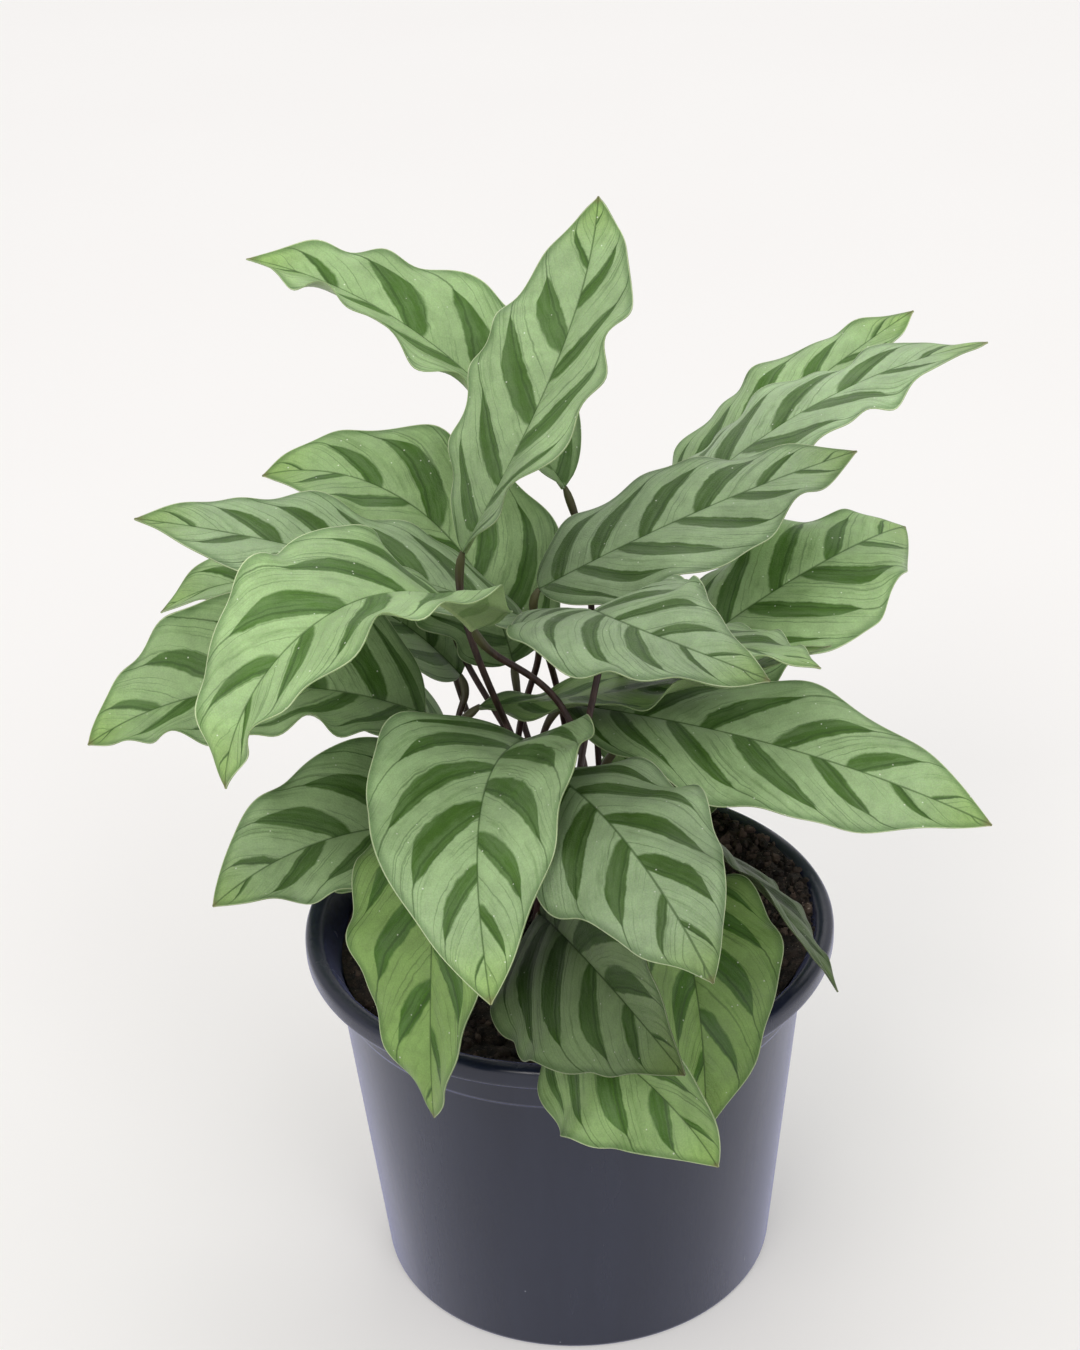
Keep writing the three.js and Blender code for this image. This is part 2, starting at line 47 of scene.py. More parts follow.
# Leaves as they grow in this plant. Angles are in degrees.
# foot is where the blade starts, and size its length and width. heading, pitch and roll are the
# angles of its midrib at the foot, and what is added to each on the way to the tip. lift is how
# steeply its left and right half rise from the midrib, and bend how much their margins curl up.
# wave is the height and number of the margins' long waves, phase where they start on the left and
# the right, and ruffle the height and pace of the short ones. fresh is 0 on a grey-green old leaf
# and 1 on a young yellow-green one. tone is about 1 and scales the leaf's brightness: partly its own
# green, partly painted light and shade, lower on a leaf in the shade of others and higher on a well
# lit one. stripes are the width of the dark stripes, the right side's lead, and how many there are.
# The stalk rises from root in the shoot, leans off by lean, and passes toward via on its way to the
# foot, which it meets over the share hook of its reach, where that isn't the usual endShare.
# foot to phase weren't chosen by hand: they are the rounded results of a fit to the photo, and from
# leaf_25 on of a random search, as root, lean and via are for every leaf.
leaves = {
    "leaf_01": dict(
        foot=(-24, -25, 236), size=(101, 49), heading=(18, 66), pitch=(57, -19), roll=(-10, 5),
        lift=(17, 19), bend=-8, wave=(1.6, 2.7), phase=(290, 280), ruffle=(1.5, 1), fresh=0.3, tone=1.05,
        stripes=(1, 0.45, 1.02), shoot="shoot_2", root=(11, -15), lean=(-32, 38), via=(17, -47, 157)),
    "leaf_02": dict(
        foot=(3, 27, 230), size=(110, 50), heading=(162, -3), pitch=(56, -51), roll=(-3, -8),
        lift=(22, 22), bend=4, wave=(1.8, 2.4), phase=(250, 60), ruffle=(1.9, 1), fresh=0.4, tone=1.15,
        stripes=(1, 0.4, 0.95), shoot="shoot_6", root=(15, 26), lean=(-7, -2), via=(9, 26, 201)),
    "leaf_03": dict(
        foot=(-13, 21, 180), size=(98, 54), heading=(144, 29), pitch=(76, -92), roll=(-23, 2),
        lift=(15, 20), bend=-9, wave=(2.1, 3.3), phase=(260, 110), ruffle=(1.7, 1), fresh=0.45, tone=1.05,
        stripes=(1, 0.5, 1.05), shoot="shoot_7", root=(4, 4), lean=(11, 7), via=(-15, 21, 155)),
    "leaf_04": dict(
        foot=(-9, 0, 204), size=(107, 50), heading=(-171, -10), pitch=(29, -20), roll=(3, -22),
        lift=(15, 14), bend=-16, wave=(1.9, 3), phase=(170, 180), ruffle=(1.2, 0.9), fresh=0.1, tone=1.05,
        stripes=(1, 0.35, 1.11), shoot="shoot_5", root=(-15, 18), lean=(8, 0), via=(-28, 14, 176)),
    "leaf_05": dict(
        foot=(-28, 26, 174), size=(96, 50), heading=(168, 8), pitch=(51, -87), roll=(-7, -3),
        lift=(17, 18), bend=-10, wave=(1.9, 3), phase=(230, 270), ruffle=(1, 1.05), fresh=0.4, tone=1.05,
        stripes=(1, 0.55, 0.97), shoot="shoot_5", root=(-15, 26), lean=(2, 1), via=(-47, 28, 172)),
    "leaf_06": dict(
        foot=(-22, -38, 221), size=(105, 53), heading=(-130, -16), pitch=(53, -138), roll=(-1, -9),
        lift=(20, 19), bend=-5, wave=(1.7, 3.5), phase=(170, 90), ruffle=(1.5, 1.2), fresh=0.4, tone=1.2,
        stripes=(0.95, 0.45, 1.03), shoot="shoot_2", root=(8, -21), lean=(-10, -20), via=(25, -28, 219)),
    "leaf_07": dict(
        foot=(-37, -7, 180), size=(95, 59), heading=(-168, -9), pitch=(30, -65), roll=(-13, -21),
        lift=(21, 25), bend=7, wave=(2, 2.5), phase=(90, 200), ruffle=(1.6, 1.1), fresh=0.4, tone=1,
        stripes=(1, 0.5, 0.9), shoot="shoot_7", root=(-4, -1), lean=(-7, -2), via=(-14, -4, 148)),
    "leaf_08": dict(
        foot=(-19, -8, 141), size=(86, 53), heading=(-160, 3), pitch=(29, -64), roll=(-17, -13),
        lift=(17, 20), bend=-8, wave=(1.9, 2.9), phase=(220, 0), ruffle=(1, 0.9), fresh=0.3, tone=0.87,
        stripes=(1.05, 0.4, 0.95), shoot="shoot_4", root=(-26, 1), lean=(5, -2), via=(-26, -5, 121)),
    "leaf_09": dict(
        foot=(-10, -32, 185), size=(97, 60), heading=(-113, 35), pitch=(21, -81), roll=(4, 17),
        lift=(20, 24), bend=1, wave=(2, 2.6), phase=(0, 210), ruffle=(0.6, 0.9), fresh=0.25, tone=1.1,
        stripes=(1.05, 0.5, 1.05), shoot="shoot_2", root=(7, -23), lean=(-4, 1), via=(7, -29, 89)),
    "leaf_10": dict(
        foot=(-33, -26, 163), size=(96, 49), heading=(-92, -4), pitch=(4, -102), roll=(24, 19),
        lift=(19, 16), bend=-9, wave=(2, 3.3), phase=(200, 220), ruffle=(0.8, 1), fresh=1, tone=0.82,
        stripes=(0.95, 0.45, 0.8), shoot="shoot_2", root=(8, -16), lean=(-9, 11), via=(-3, -8, 147)),
    "leaf_11": dict(
        foot=(-4, -58, 190), size=(87, 50), heading=(-69, 8), pitch=(15, -53), roll=(3, 1), lift=(7, -19),
        bend=-19, wave=(2.8, 3.5), phase=(280, 320), ruffle=(0.7, 0.9), fresh=0.08, tone=0.8,
        stripes=(1, 0.4, 1), shoot="shoot_1", root=(-13, -21), lean=(1, -7), via=(-4, -50, 152)),
    "leaf_12": dict(
        foot=(1, -6, 181), size=(118, 50), heading=(-15, -1), pitch=(-3, -20), roll=(-4, 43),
        lift=(12, 10), bend=-24, wave=(2.3, 3), phase=(240, 220), ruffle=(0.5, 0.9), fresh=0.3, tone=1.1,
        stripes=(0.95, 0.5, 1.2), shoot="shoot_5", root=(-13, 20), lean=(0, 10), via=(0, -3, 135)),
    "leaf_13": dict(
        foot=(11, -31, 219), size=(87, 47), heading=(-112, 101), pitch=(36, -59), roll=(4, 14),
        lift=(14, 12), bend=-20, wave=(1.9, 2.7), phase=(190, 50), ruffle=(1, 1.05), fresh=0.05, tone=0.8,
        stripes=(0.85, 0.45, 1.25), shoot="shoot_2", root=(9, -17), lean=(-1, 5), via=(-12, -69, 171),
        hook=0.15),
    "leaf_14": dict(
        foot=(-22, -11, 184), size=(95, 36), heading=(-5, -1), pitch=(5, 14), roll=(-22, -1),
        lift=(-4, -20), bend=29, wave=(2.2, 3.4), phase=(70, 80), ruffle=(1, 1), fresh=0.8, tone=0.8,
        stripes=(1, 0.5, 1.04), shoot="shoot_7", root=(3, 1), lean=(3, 2), via=(-30, 21, 166)),
    "leaf_15": dict(
        foot=(32, 27, 174), size=(92, 54), heading=(-5, 64), pitch=(44, -64), roll=(9, 14), lift=(10, 7),
        bend=-32, wave=(2.4, 2.7), phase=(320, 100), ruffle=(1, 0.95), fresh=0.4, tone=1.15,
        stripes=(1, 0.45, 0.98), shoot="shoot_3", root=(30, 6), lean=(-2, 7), via=(37, 13, 134)),
    "leaf_16": dict(
        foot=(18, 2, 191), size=(69, 45), heading=(-52, 15), pitch=(31, -35), roll=(-12, -10),
        lift=(19, 9), bend=-23, wave=(1.1, 3.8), phase=(350, 50), ruffle=(0.7, 1.1), fresh=0.3, tone=1.15,
        stripes=(0.9, 0.5, 0.72), shoot="shoot_4", root=(-28, 2), lean=(47, 3), via=(-13, 67, 167)),
    "leaf_17": dict(
        foot=(-5, -11, 218), size=(91, 48), heading=(12, 1), pitch=(23, -12), roll=(7, 6), lift=(12, 10),
        bend=-24, wave=(2, 2.6), phase=(340, 100), ruffle=(1, 0.85), fresh=0.1, tone=0.82,
        stripes=(1, 0.4, 1.15), shoot="shoot_6", root=(9, 22), lean=(-9, -2), via=(7, 13, 192), hook=0.1),
    "leaf_18": dict(
        foot=(31, 36, 216), size=(101, 50), heading=(9, -7), pitch=(42, -34), roll=(-1, 0), lift=(11, 11),
        bend=-24, wave=(1.9, 2.9), phase=(20, 270), ruffle=(1, 1.2), fresh=0.05, tone=1.2,
        stripes=(1, 0.5, 0.99), shoot="shoot_6", root=(16, 18), lean=(1, -3), via=(23, 18, 156)),
    "leaf_19": dict(
        foot=(28, 60, 198), size=(100, 51), heading=(4, 18), pitch=(49, -26), roll=(2, 5), lift=(12, 12),
        bend=-22, wave=(1.6, 3), phase=(220, 330), ruffle=(1, 1.15), fresh=0.35, tone=1.2,
        stripes=(1, 0.45, 0.95), shoot="shoot_6", root=(10, 26), lean=(-6, 6), via=(-10, 44, 171)),
    "leaf_20": dict(
        foot=(-8, -56, 147), size=(87, 61), heading=(-79, 23), pitch=(23, -43), roll=(35, 14),
        lift=(47, -3), bend=-16, wave=(2.1, 2.8), phase=(260, 260), ruffle=(0.8, 1), fresh=0.45, tone=0.4,
        stripes=(1.15, 0.5, 0.96), shoot="shoot_2", root=(8, -24), lean=(-6, -7), via=(1, -46, 128)),
    "leaf_21": dict(
        foot=(-6, -66, 120), size=(70, 50), heading=(-66, 33), pitch=(28, -84), roll=(53, -12),
        lift=(53, -4), bend=-3, wave=(2.8, 2.7), phase=(40, 0), ruffle=(0.4, 0.9), fresh=0.7, tone=0.89,
        stripes=(1.05, 0.4, 0.75), shoot="shoot_2", root=(8, -24), lean=(-6, -11), via=(4, -44, 107)),
    "leaf_22": dict(
        foot=(21, -32, 139), size=(87, 50), heading=(-73, -20), pitch=(22, -97), roll=(-12, -16),
        lift=(17, 25), bend=0, wave=(2, 3), phase=(270, 40), ruffle=(0.6, 0.9), fresh=1, tone=0.67,
        stripes=(1, 0.5, 0.9), shoot="shoot_2", root=(14, -24), lean=(1, -1), via=(18, -32, 115)),
    "leaf_23": dict(
        foot=(37, 10, 126), size=(77, 34), heading=(-72, 19), pitch=(23, -66), roll=(-37, 4),
        lift=(3, 25), bend=-15, wave=(1, 3.1), phase=(170, 90), ruffle=(0.5, 1), fresh=0.3, tone=0.37,
        stripes=(1, 0.45, 0.78), shoot="shoot_3", root=(31, 5), lean=(1, 3), via=(35, 4, 114)),
    "leaf_24": dict(
        foot=(15, -2, 164), size=(97, 42), heading=(-6, 14), pitch=(2, -39), roll=(-14, 16), lift=(4, 27),
        bend=-18, wave=(1.4, 3.4), phase=(110, 310), ruffle=(1, 0.9), fresh=0.6, tone=0.8,
        stripes=(1, 0.5, 0.95), shoot="shoot_3", root=(23, -1), lean=(-4, 0), via=(15, -2, 132)),
    "leaf_25": dict(
        foot=(27, 20, 135), size=(99, 46), heading=(88, -11), pitch=(40, -72), roll=(3, -2),
        lift=(19, 19), bend=-18, wave=(1.9, 3.2), phase=(150, 210), ruffle=(1, 0.85), fresh=0.6,
        tone=1.05, stripes=(1.01, 0.56, 0.94), shoot="shoot_6", root=(17, 20), lean=(3, -2),
        via=(20, 24, 111)),
    "leaf_26": dict(
        foot=(26, 38, 126), size=(97, 49), heading=(34, -18), pitch=(23, -72), roll=(7, -6), lift=(22, 9),
        bend=-18, wave=(1.5, 3), phase=(200, 150), ruffle=(1, 1.2), fresh=0.45, tone=1.01,
        stripes=(0.95, 0.5, 1.07), shoot="shoot_6", root=(16, 26), lean=(2, 3), via=(21, 31, 105)),
    "leaf_27": dict(
        foot=(-25, 36, 123), size=(99, 45), heading=(78, 6), pitch=(8, -104), roll=(-10, 1),
        lift=(20, 17), bend=-18, wave=(2.2, 3.3), phase=(140, 350), ruffle=(1, 1.15), fresh=0.3,
        tone=0.97, stripes=(0.99, 0.44, 1.06), shoot="shoot_5", root=(-16, 26), lean=(-4, 1),
        via=(-19, 34, 110)),
    "leaf_28": dict(
        foot=(-27, 8, 108), size=(85, 46), heading=(155, -13), pitch=(32, -85), roll=(-7, 9),
        lift=(15, 20), bend=-18, wave=(1.8, 3.3), phase=(220, 240), ruffle=(1, 1.1), fresh=0.65,
        tone=1.01, stripes=(1.03, 0.58, 0.88), shoot="shoot_4", root=(-26, 7), lean=(0, 0),
        via=(-27, 8, 94)),
    "leaf_29": dict(
        foot=(21, 39, 113), size=(95, 50), heading=(60, -7), pitch=(18, -74), roll=(-3, -9),
        lift=(19, 11), bend=-18, wave=(2, 3.4), phase=(150, 130), ruffle=(1, 1.05), fresh=0.5, tone=0.97,
        stripes=(0.97, 0.52, 0.96), shoot="shoot_6", root=(16, 26), lean=(1, 2), via=(20, 36, 107)),
    "leaf_30": dict(
        foot=(32, 33, 161), size=(80, 43), heading=(55, 15), pitch=(39, -111), roll=(6, -9),
        lift=(16, 21), bend=-18, wave=(1.7, 3.4), phase=(320, 60), ruffle=(1, 1), fresh=0.35, tone=0.93,
        stripes=(1.01, 0.46, 0.78), shoot="shoot_7", root=(4, 3), lean=(5, 8), via=(22, 9, 137)),
    "leaf_31": dict(
        foot=(-32, 48, 173), size=(83, 43), heading=(109, -10), pitch=(51, -112), roll=(-9, 4),
        lift=(16, 20), bend=-18, wave=(1.8, 2.8), phase=(90, 30), ruffle=(1, 0.95), fresh=0.2, tone=1.05,
        stripes=(0.95, 0.4, 0.79), shoot="shoot_7", root=(1, -1), lean=(-9, -1), via=(-19, 11, 153)),
    "leaf_32": dict(
        foot=(30, 41, 137), size=(95, 43), heading=(63, 15), pitch=(22, -68), roll=(-5, 6), lift=(14, 18),
        bend=-18, wave=(1.8, 2.7), phase=(180, 50), ruffle=(1, 0.9), fresh=0.55, tone=0.93,
        stripes=(0.99, 0.54, 1.04), shoot="shoot_6", root=(17, 25), lean=(3, 1), via=(26, 34, 125)),
    "leaf_33": dict(
        foot=(-34, 38, 148), size=(97, 47), heading=(165, -16), pitch=(22, -44), roll=(4, -10),
        lift=(22, 12), bend=-18, wave=(1.6, 2.6), phase=(140, 330), ruffle=(1, 0.85), fresh=0.4,
        tone=1.05, stripes=(1.03, 0.48, 1.04), shoot="shoot_5", root=(-17, 24), lean=(-2, 3),
        via=(-26, 27, 110)),
    "leaf_34": dict(
        foot=(-31, 33, 195), size=(92, 46), heading=(93, 14), pitch=(40, -73), roll=(3, 6), lift=(20, 9),
        bend=-18, wave=(1.8, 2.8), phase=(230, 60), ruffle=(1, 1.2), fresh=0.25, tone=1.01,
        stripes=(0.97, 0.42, 0.96), shoot="shoot_6", root=(9, 22), lean=(-11, 1), via=(-9, 24, 160)),
}

# middle of each shoot on the soil, seen from above
shoots = {
    "shoot_1": (-15, -17),
    "shoot_2": (11, -20),
    "shoot_3": (27, 2),
    "shoot_4": (-29, 5),
    "shoot_5": (-13, 22),
    "shoot_6": (13, 22),
    "shoot_7": (0, 1),
}


def linearColour(hexText):
    # sRGB hex text to linear red, green, blue and alpha
    srgb = np.array([int(hexText[i:i + 2], 16) / 255 for i in (1, 3, 5)])
    linear = np.where(srgb <= 0.04045, srgb / 12.92, ((srgb + 0.055) / 1.055) ** 2.4)
    return (*linear.tolist(), 1.0)


def addNode(tree, kind, inputs=(), **settings):
    # one node with its settings, and its inputs in their order or by name. A node or socket is
    # linked, and hex text becomes a colour. A MapRange takes a value, its low and high, and what
    # they become, and a Mix takes the share of the second tone, and both tones
    node = tree.nodes.new("ShaderNode" + kind)
    for name, value in settings.items():
        setattr(node, name, value)
    sockets = [socket for socket in node.inputs if socket.enabled]
    if isinstance(inputs, dict):
        sockets, inputs = [node.inputs[name] for name in inputs], inputs.values()
    for socket, value in zip(sockets, inputs):
        if isinstance(value, bpy.types.Node):
            value = next(output for output in value.outputs if output.enabled)
        if isinstance(value, bpy.types.NodeSocket):
            tree.links.new(value, socket)
        else:
            socket.default_value = linearColour(value) if isinstance(value, str) else value
    return node


def newMaterial(name):
    # an empty material, addNode for its tree, and the place on the object in metres
    material = bpy.data.materials.new(name)
    material.use_nodes = True
    material.node_tree.nodes.clear()
    add = partial(addNode, material.node_tree)
    return material, add, add("TexCoord").outputs["Object"]


def around(count):
    # angles of a full turn in equal steps
    return np.linspace(0, 2 * np.pi, count, endpoint=False)


def circle(radius, angle, height, centre=(0, 0)):
    # points round an upright axis: the cosine and the sine of the angle, times the radius
    return np.stack([centre[0] + radius * np.cos(angle), centre[1] + radius * np.sin(angle),
                     height + 0 * angle], axis=-1)


def softNoise(x, y, size, seed, waves=24, spread=(0.75, 1.35)):
    # sum of plane waves of about one wavelength, size, in random directions: smooth, within -1..1
    draw = np.random.default_rng(seed)
    total = np.zeros(np.broadcast(x, y).shape)
    for _ in range(waves):
        direction = draw.normal(size=3)
        direction /= np.linalg.norm(direction)
        pace = 2 * np.pi / (size * draw.uniform(*spread))
        total += np.sin(pace * (x * direction[0] + y * direction[1]) + draw.uniform(0, 2 * np.pi))
    return total / math.sqrt(waves * 2)


def gridFaces(rows, columns, start=0, closed=False):
    # quads of a rows by columns grid of points, closed round its columns where asked
    across = columns if closed else columns - 1
    row, column = np.meshgrid(np.arange(rows - 1), np.arange(across), indexing="ij")
    here = row * columns + column
    beside = row * columns + (column + 1) % columns
    return np.stack([here, beside, beside + columns, here + columns], axis=-1).reshape(-1, 4) + start


def makePiece(name, points, faces, materials, slots=None, sharpAngle=50):
    # points in millimetres, faces as arrays of three or four corners
    mesh = bpy.data.meshes.new(name)
    mesh.from_pydata((np.asarray(points) * mm).tolist(), [], [list(face) for face in faces])
    for material in materials:
        mesh.materials.append(material)
    if slots is not None:
        mesh.polygons.foreach_set("material_index", np.asarray(slots, dtype=np.int32))
    mesh.polygons.foreach_set("use_smooth", np.ones(len(mesh.polygons), dtype=bool))
    mesh.set_sharp_from_angle(angle=math.radians(sharpAngle))
    mesh.update()
    piece = bpy.data.objects.new(name, mesh)
    bpy.context.scene.collection.objects.link(piece)
    return piece


def setUv(mesh, name, across, along):
    layer = mesh.uv_layers.new(name=name, do_init=False)
    values = np.stack([across, along], axis=-1)
    layer.uv.foreach_set("vector", np.ascontiguousarray(values, dtype=np.float32).ravel())


def setTrait(mesh, name, values):
    trait = mesh.attributes.new(name=name, type="FLOAT", domain="POINT")
    trait.data.foreach_set("value", np.asarray(values, dtype=np.float32))


bladeShape = dict(
    baseRise=0.55,      # how fast the width grows at the foot
    tipFall=0.95,       # how straight it falls to the tip
    tipHalfWidth=0.25, footHalfWidth=0.55,  # least half width, and what the foot has more
    sinkPower=1.2,      # above 1, a blade bends down more toward its tip
    steadyEnd=0.2,      # share of the length at both ends where the waves fade
    stations=97, halfColumns=17,
    evenShare=0.75,     # the rest of the stations' spacing is closer at both ends
    thickness=0.44, edgeThickness=0.26,
    thinning=4,         # it thins with this power of the way to the margin
    ridge=1.0, ridgeWidth=0.75,  # midrib under the blade, at the foot
    groove=0.3, grooveWidth=0.6,  # midrib on top
    ridgeTaper=0.6,     # both grow with this power of the way from the tip
    pleat=0.4, pleatReach=0.8,  # swell between two side veins
    ruffles=5.4,        # short uneven waves along a margin
    ruffleStart=(1.0, 3.4),  # where they start on the left and the right, unlike on each leaf
    ruffleReach=3.5,    # they grow with this power of the way to the margin
    uneven=0.55, unevenPace=0.43,  # how much, and how slowly, they grow and shrink
    scallop=0.028, scallopLag=0.9,  # share of the width by which they narrow the outline
    veinCount=4.7,      # dark stripes on each side of a blade 100 long
    baseVeins=0.85, baseShare=0.18,  # extra ones at the foot, and the share they crowd in
    veinAngles=(68, 54, 44, 36, 30),  # of a side vein to the midrib, from foot to tip
    veinCurve=0.07,     # how far a vein turns to the tip before the margin
    stripeEdge=0.7,     # where in the vein count a stripe's vein lies
    stripeLength=1.03, tipLength=0.22,  # the second is taken off at the tip
    stripeOut=(0, 0.08, 0.22, 0.4, 0.58, 0.72, 0.82, 0.88),  # shares of a stripe's length
    stripeWidths=(0.26, 0.36, 0.45, 0.5, 0.5, 0.41, 0.18, -0.04),
    stripeShares=(0, 0.1, 0.66, 0.97), stripeFade=(0.8, 1, 1, 0),  # from foot to tip
    lengthUneven=(0.05, 3.7), widthUneven=(0.14, 2.1, 5),  # how much, and the sine's pace
    sideApart=10, leafApart=20,  # added to the vein count, so no two halves have one pattern
)


def midribOf(leaf, share):
    # runs along a direction that changes with the share of the length: heading and roll evenly,
    # and pitch with a power of it. Gives the points, and the blade's left and up at each
    pitch = np.radians(leaf["pitch"][0] + leaf["pitch"][1] * share ** bladeShape["sinkPower"])
    heading, roll = (np.radians(leaf[key][0] + leaf[key][1] * share) for key in ("heading", "roll"))
    along = np.stack([np.cos(pitch) * np.cos(heading), np.cos(pitch) * np.sin(heading),
                      np.sin(pitch)], axis=-1)
    step = 0.5 * (along[1:] + along[:-1]) * (np.diff(share) * leaf["size"][0])[:, None]
    points = np.vstack([np.zeros(3), np.cumsum(step, axis=0)]) + np.array(leaf["foot"], float)
    level = np.stack([-np.sin(heading), np.cos(heading), 0 * heading], axis=-1)
    upright = np.cross(along, level)
    roll = roll[:, None]
    return (points, np.cos(roll) * level + np.sin(roll) * upright,
            np.cos(roll) * upright - np.sin(roll) * level)


def widthShare(share):
    # a power of the way from the foot times a power of the way from the tip, 1 at the widest
    rise, fall = bladeShape["baseRise"], bladeShape["tipFall"]
    widest = rise / (rise + fall)
    return (share / widest) ** rise * ((1 - share) / (1 - widest)) ** fall


def veinNumber(leaf, share, away):
    # counts side veins from the foot. A vein leaves the midrib at an angle and curves to the tip
    # near the margin, so a place away from the midrib has the count of a place nearer the foot
    angles = bladeShape["veinAngles"]
    angle = np.radians(np.interp(share, np.linspace(0, 1, len(angles)), angles))
    length, width = leaf["size"]
    lag = 0.5 * width / length * widthShare(share) * away / np.tan(angle)
    start = share - lag - bladeShape["veinCurve"] * away ** 4
    return (bladeShape["veinCount"] * leaf["stripes"][2] * start
            + bladeShape["baseVeins"] * np.tanh(start / bladeShape["baseShare"]))


def bladeGrid(leaf):
    # each station of the midrib carries two halves that lift and curl from it, plus long waves,
    # short ruffles and pleats: sines along the blade that grow with a power of the way to the margin
    shape = bladeShape
    even = np.linspace(0, 1, shape["stations"])
    share = shape["evenShare"] * even + (1 - shape["evenShare"]) * (1 - np.cos(np.pi * even)) / 2
    inner = (1 - np.cos(np.pi * np.linspace(0, 1, shape["halfColumns"]))) / 2
    across = np.concatenate([-inner[::-1], inner[1:]])
    middle, left, up = midribOf(leaf, share)
    s, v = share[:, None], across[None, :]
    away, onLeft = np.abs(v), v >= 0
    leastHalf = shape["tipHalfWidth"] + shape["footHalfWidth"] * (1 - s)
    halfWidth = np.maximum(0.5 * leaf["size"][1] * widthShare(s), leastHalf)
    lift = np.radians(np.where(onLeft, *leaf["lift"]) + leaf["bend"] * away / 2)
    steady = np.minimum(1, s / shape["steadyEnd"]) * np.minimum(1, (1 - s) / shape["steadyEnd"])
    waveHeight, waves = leaf["wave"]
    phase = np.radians(np.where(onLeft, *leaf["phase"]))
    wave = waveHeight * away ** 2 * np.sin(2 * np.pi * waves * s + phase)
    ruffleHeight, ruffleScale = leaf["ruffle"]
    ruffleTurn = (2 * np.pi * shape["ruffles"] * ruffleScale * s
                  + np.where(onLeft, *shape["ruffleStart"]) * leaf["number"])
    uneven = 1 + shape["uneven"] * np.sin(shape["unevenPace"] * ruffleTurn + 2 * leaf["number"])
    narrowing = (1 + np.sin(ruffleTurn + shape["scallopLag"])) * uneven * away ** 2
    scallop = 1 - shape["scallop"] * ruffleHeight * narrowing
    ruffle = ruffleHeight * away ** shape["ruffleReach"] * np.sin(ruffleTurn) * uneven
    number = veinNumber(leaf, s, away) + np.where(onLeft, 0.0, leaf["stripes"][1])
    pleat = (-shape["pleat"] * np.cos(2 * np.pi * (number - shape["stripeEdge"]))
             * np.sin(np.pi * away ** shape["pleatReach"]))
    sideways = (halfWidth * scallop * v * np.cos(lift))[..., None] * left[:, None, :]
    height = halfWidth * away * np.sin(lift) + (wave + ruffle + pleat) * steady
    points = middle[:, None, :] + sideways + height[..., None] * up[:, None, :]
    return points, s + 0 * v, v + 0 * s, halfWidth + 0 * v


def stripeWidth(leaf, share, away, number):
    # a dark stripe starts slim at the midrib, is widest half way out, and ends in a point before
    # the margin. It slims toward the tip, and sines of its order make no two equally wide or long
    shape = bladeShape
    widthScale, sideShift, _ = leaf["stripes"]
    order = np.floor(number - shape["stripeEdge"] + 0.5)
    uneven, pace = shape["lengthUneven"]
    length = shape["stripeLength"] - shape["tipLength"] * share + uneven * np.sin(pace * order)
    width = np.interp(away / length, shape["stripeOut"], shape["stripeWidths"])
    fade = np.interp(share, shape["stripeShares"], shape["stripeFade"])
    uneven, pace, lead = shape["widthUneven"]
    return width * fade * (1 + uneven * np.sin(pace * order + lead * sideShift)) * widthScale


def makeBlade(name, leaf, materials):
    # a top and an underside, half the thickness off the grid along its normals, joined by a rim.
    # The midrib's groove and ridge are bell curves of the way from it
    points, s, v, halfWidth = bladeGrid(leaf)
    rows, columns = s.shape
    normal = np.cross(np.gradient(points, axis=0), np.gradient(points, axis=1))
    normal /= np.linalg.norm(normal, axis=-1, keepdims=True) + 1e-9
    away = np.abs(v)
    fromMidrib, fromMargin = halfWidth * away, halfWidth * (1 - away)
    shape = bladeShape
    thinner = shape["edgeThickness"] - shape["thickness"]
    core = shape["thickness"] + thinner * away ** shape["thinning"]
    taper = (1 - s) ** shape["ridgeTaper"]
    groove = shape["groove"] * taper * np.exp(-(fromMidrib / shape["grooveWidth"]) ** 2)
    ridge = shape["ridge"] * taper * np.exp(-(fromMidrib / shape["ridgeWidth"]) ** 2)
    top = points + normal * (core / 2 - groove)[..., None]
    under = points - normal * (core / 2 + ridge)[..., None]
    count = rows * columns
    topFaces = gridFaces(rows, columns)[:, ::-1]
    underFaces = gridFaces(rows, columns, start=count)
    order = np.arange(count).reshape(rows, columns)
    border = np.concatenate([order[0, :-1], order[:-1, -1], order[-1, :0:-1], order[:0:-1, 0]])
    ahead = np.roll(border, -1)
    rimFaces = np.stack([border, ahead, ahead + count, border + count], axis=-1)
    faces = np.concatenate([topFaces, underFaces, rimFaces])
    slots = np.repeat([0, 1, 1], [len(topFaces), len(underFaces), len(rimFaces)])
    blade = makePiece(name, np.concatenate([top.reshape(-1, 3), under.reshape(-1, 3)]), faces,
                      materials, slots)
    # the vein count jumps at the midrib, so each face takes the side that its middle is on
    corners = faces.ravel() % count
    onLeft = np.repeat(v.ravel()[faces % count].mean(axis=1) >= 0, 4)
    s, v, away, fromMidrib, fromMargin = (grid.ravel()[corners]
                                          for grid in (s, v, away, fromMidrib, fromMargin))
    number = (veinNumber(leaf, s, away) + shape["leafApart"] * leaf["number"]
              + np.where(onLeft, 0, leaf["stripes"][1] + shape["sideApart"]))
    setUv(blade.data, "blade", (v + 1) / 2, s)
    setUv(blade.data, "veins", number, stripeWidth(leaf, s, away, number))
    setUv(blade.data, "edges", fromMargin, fromMidrib)
    # tone holds painted light and shade besides the leaf's own brightness
    for trait in ("fresh", "tone"):
        setTrait(blade.data, trait, np.full(2 * count, leaf[trait]))
    return blade


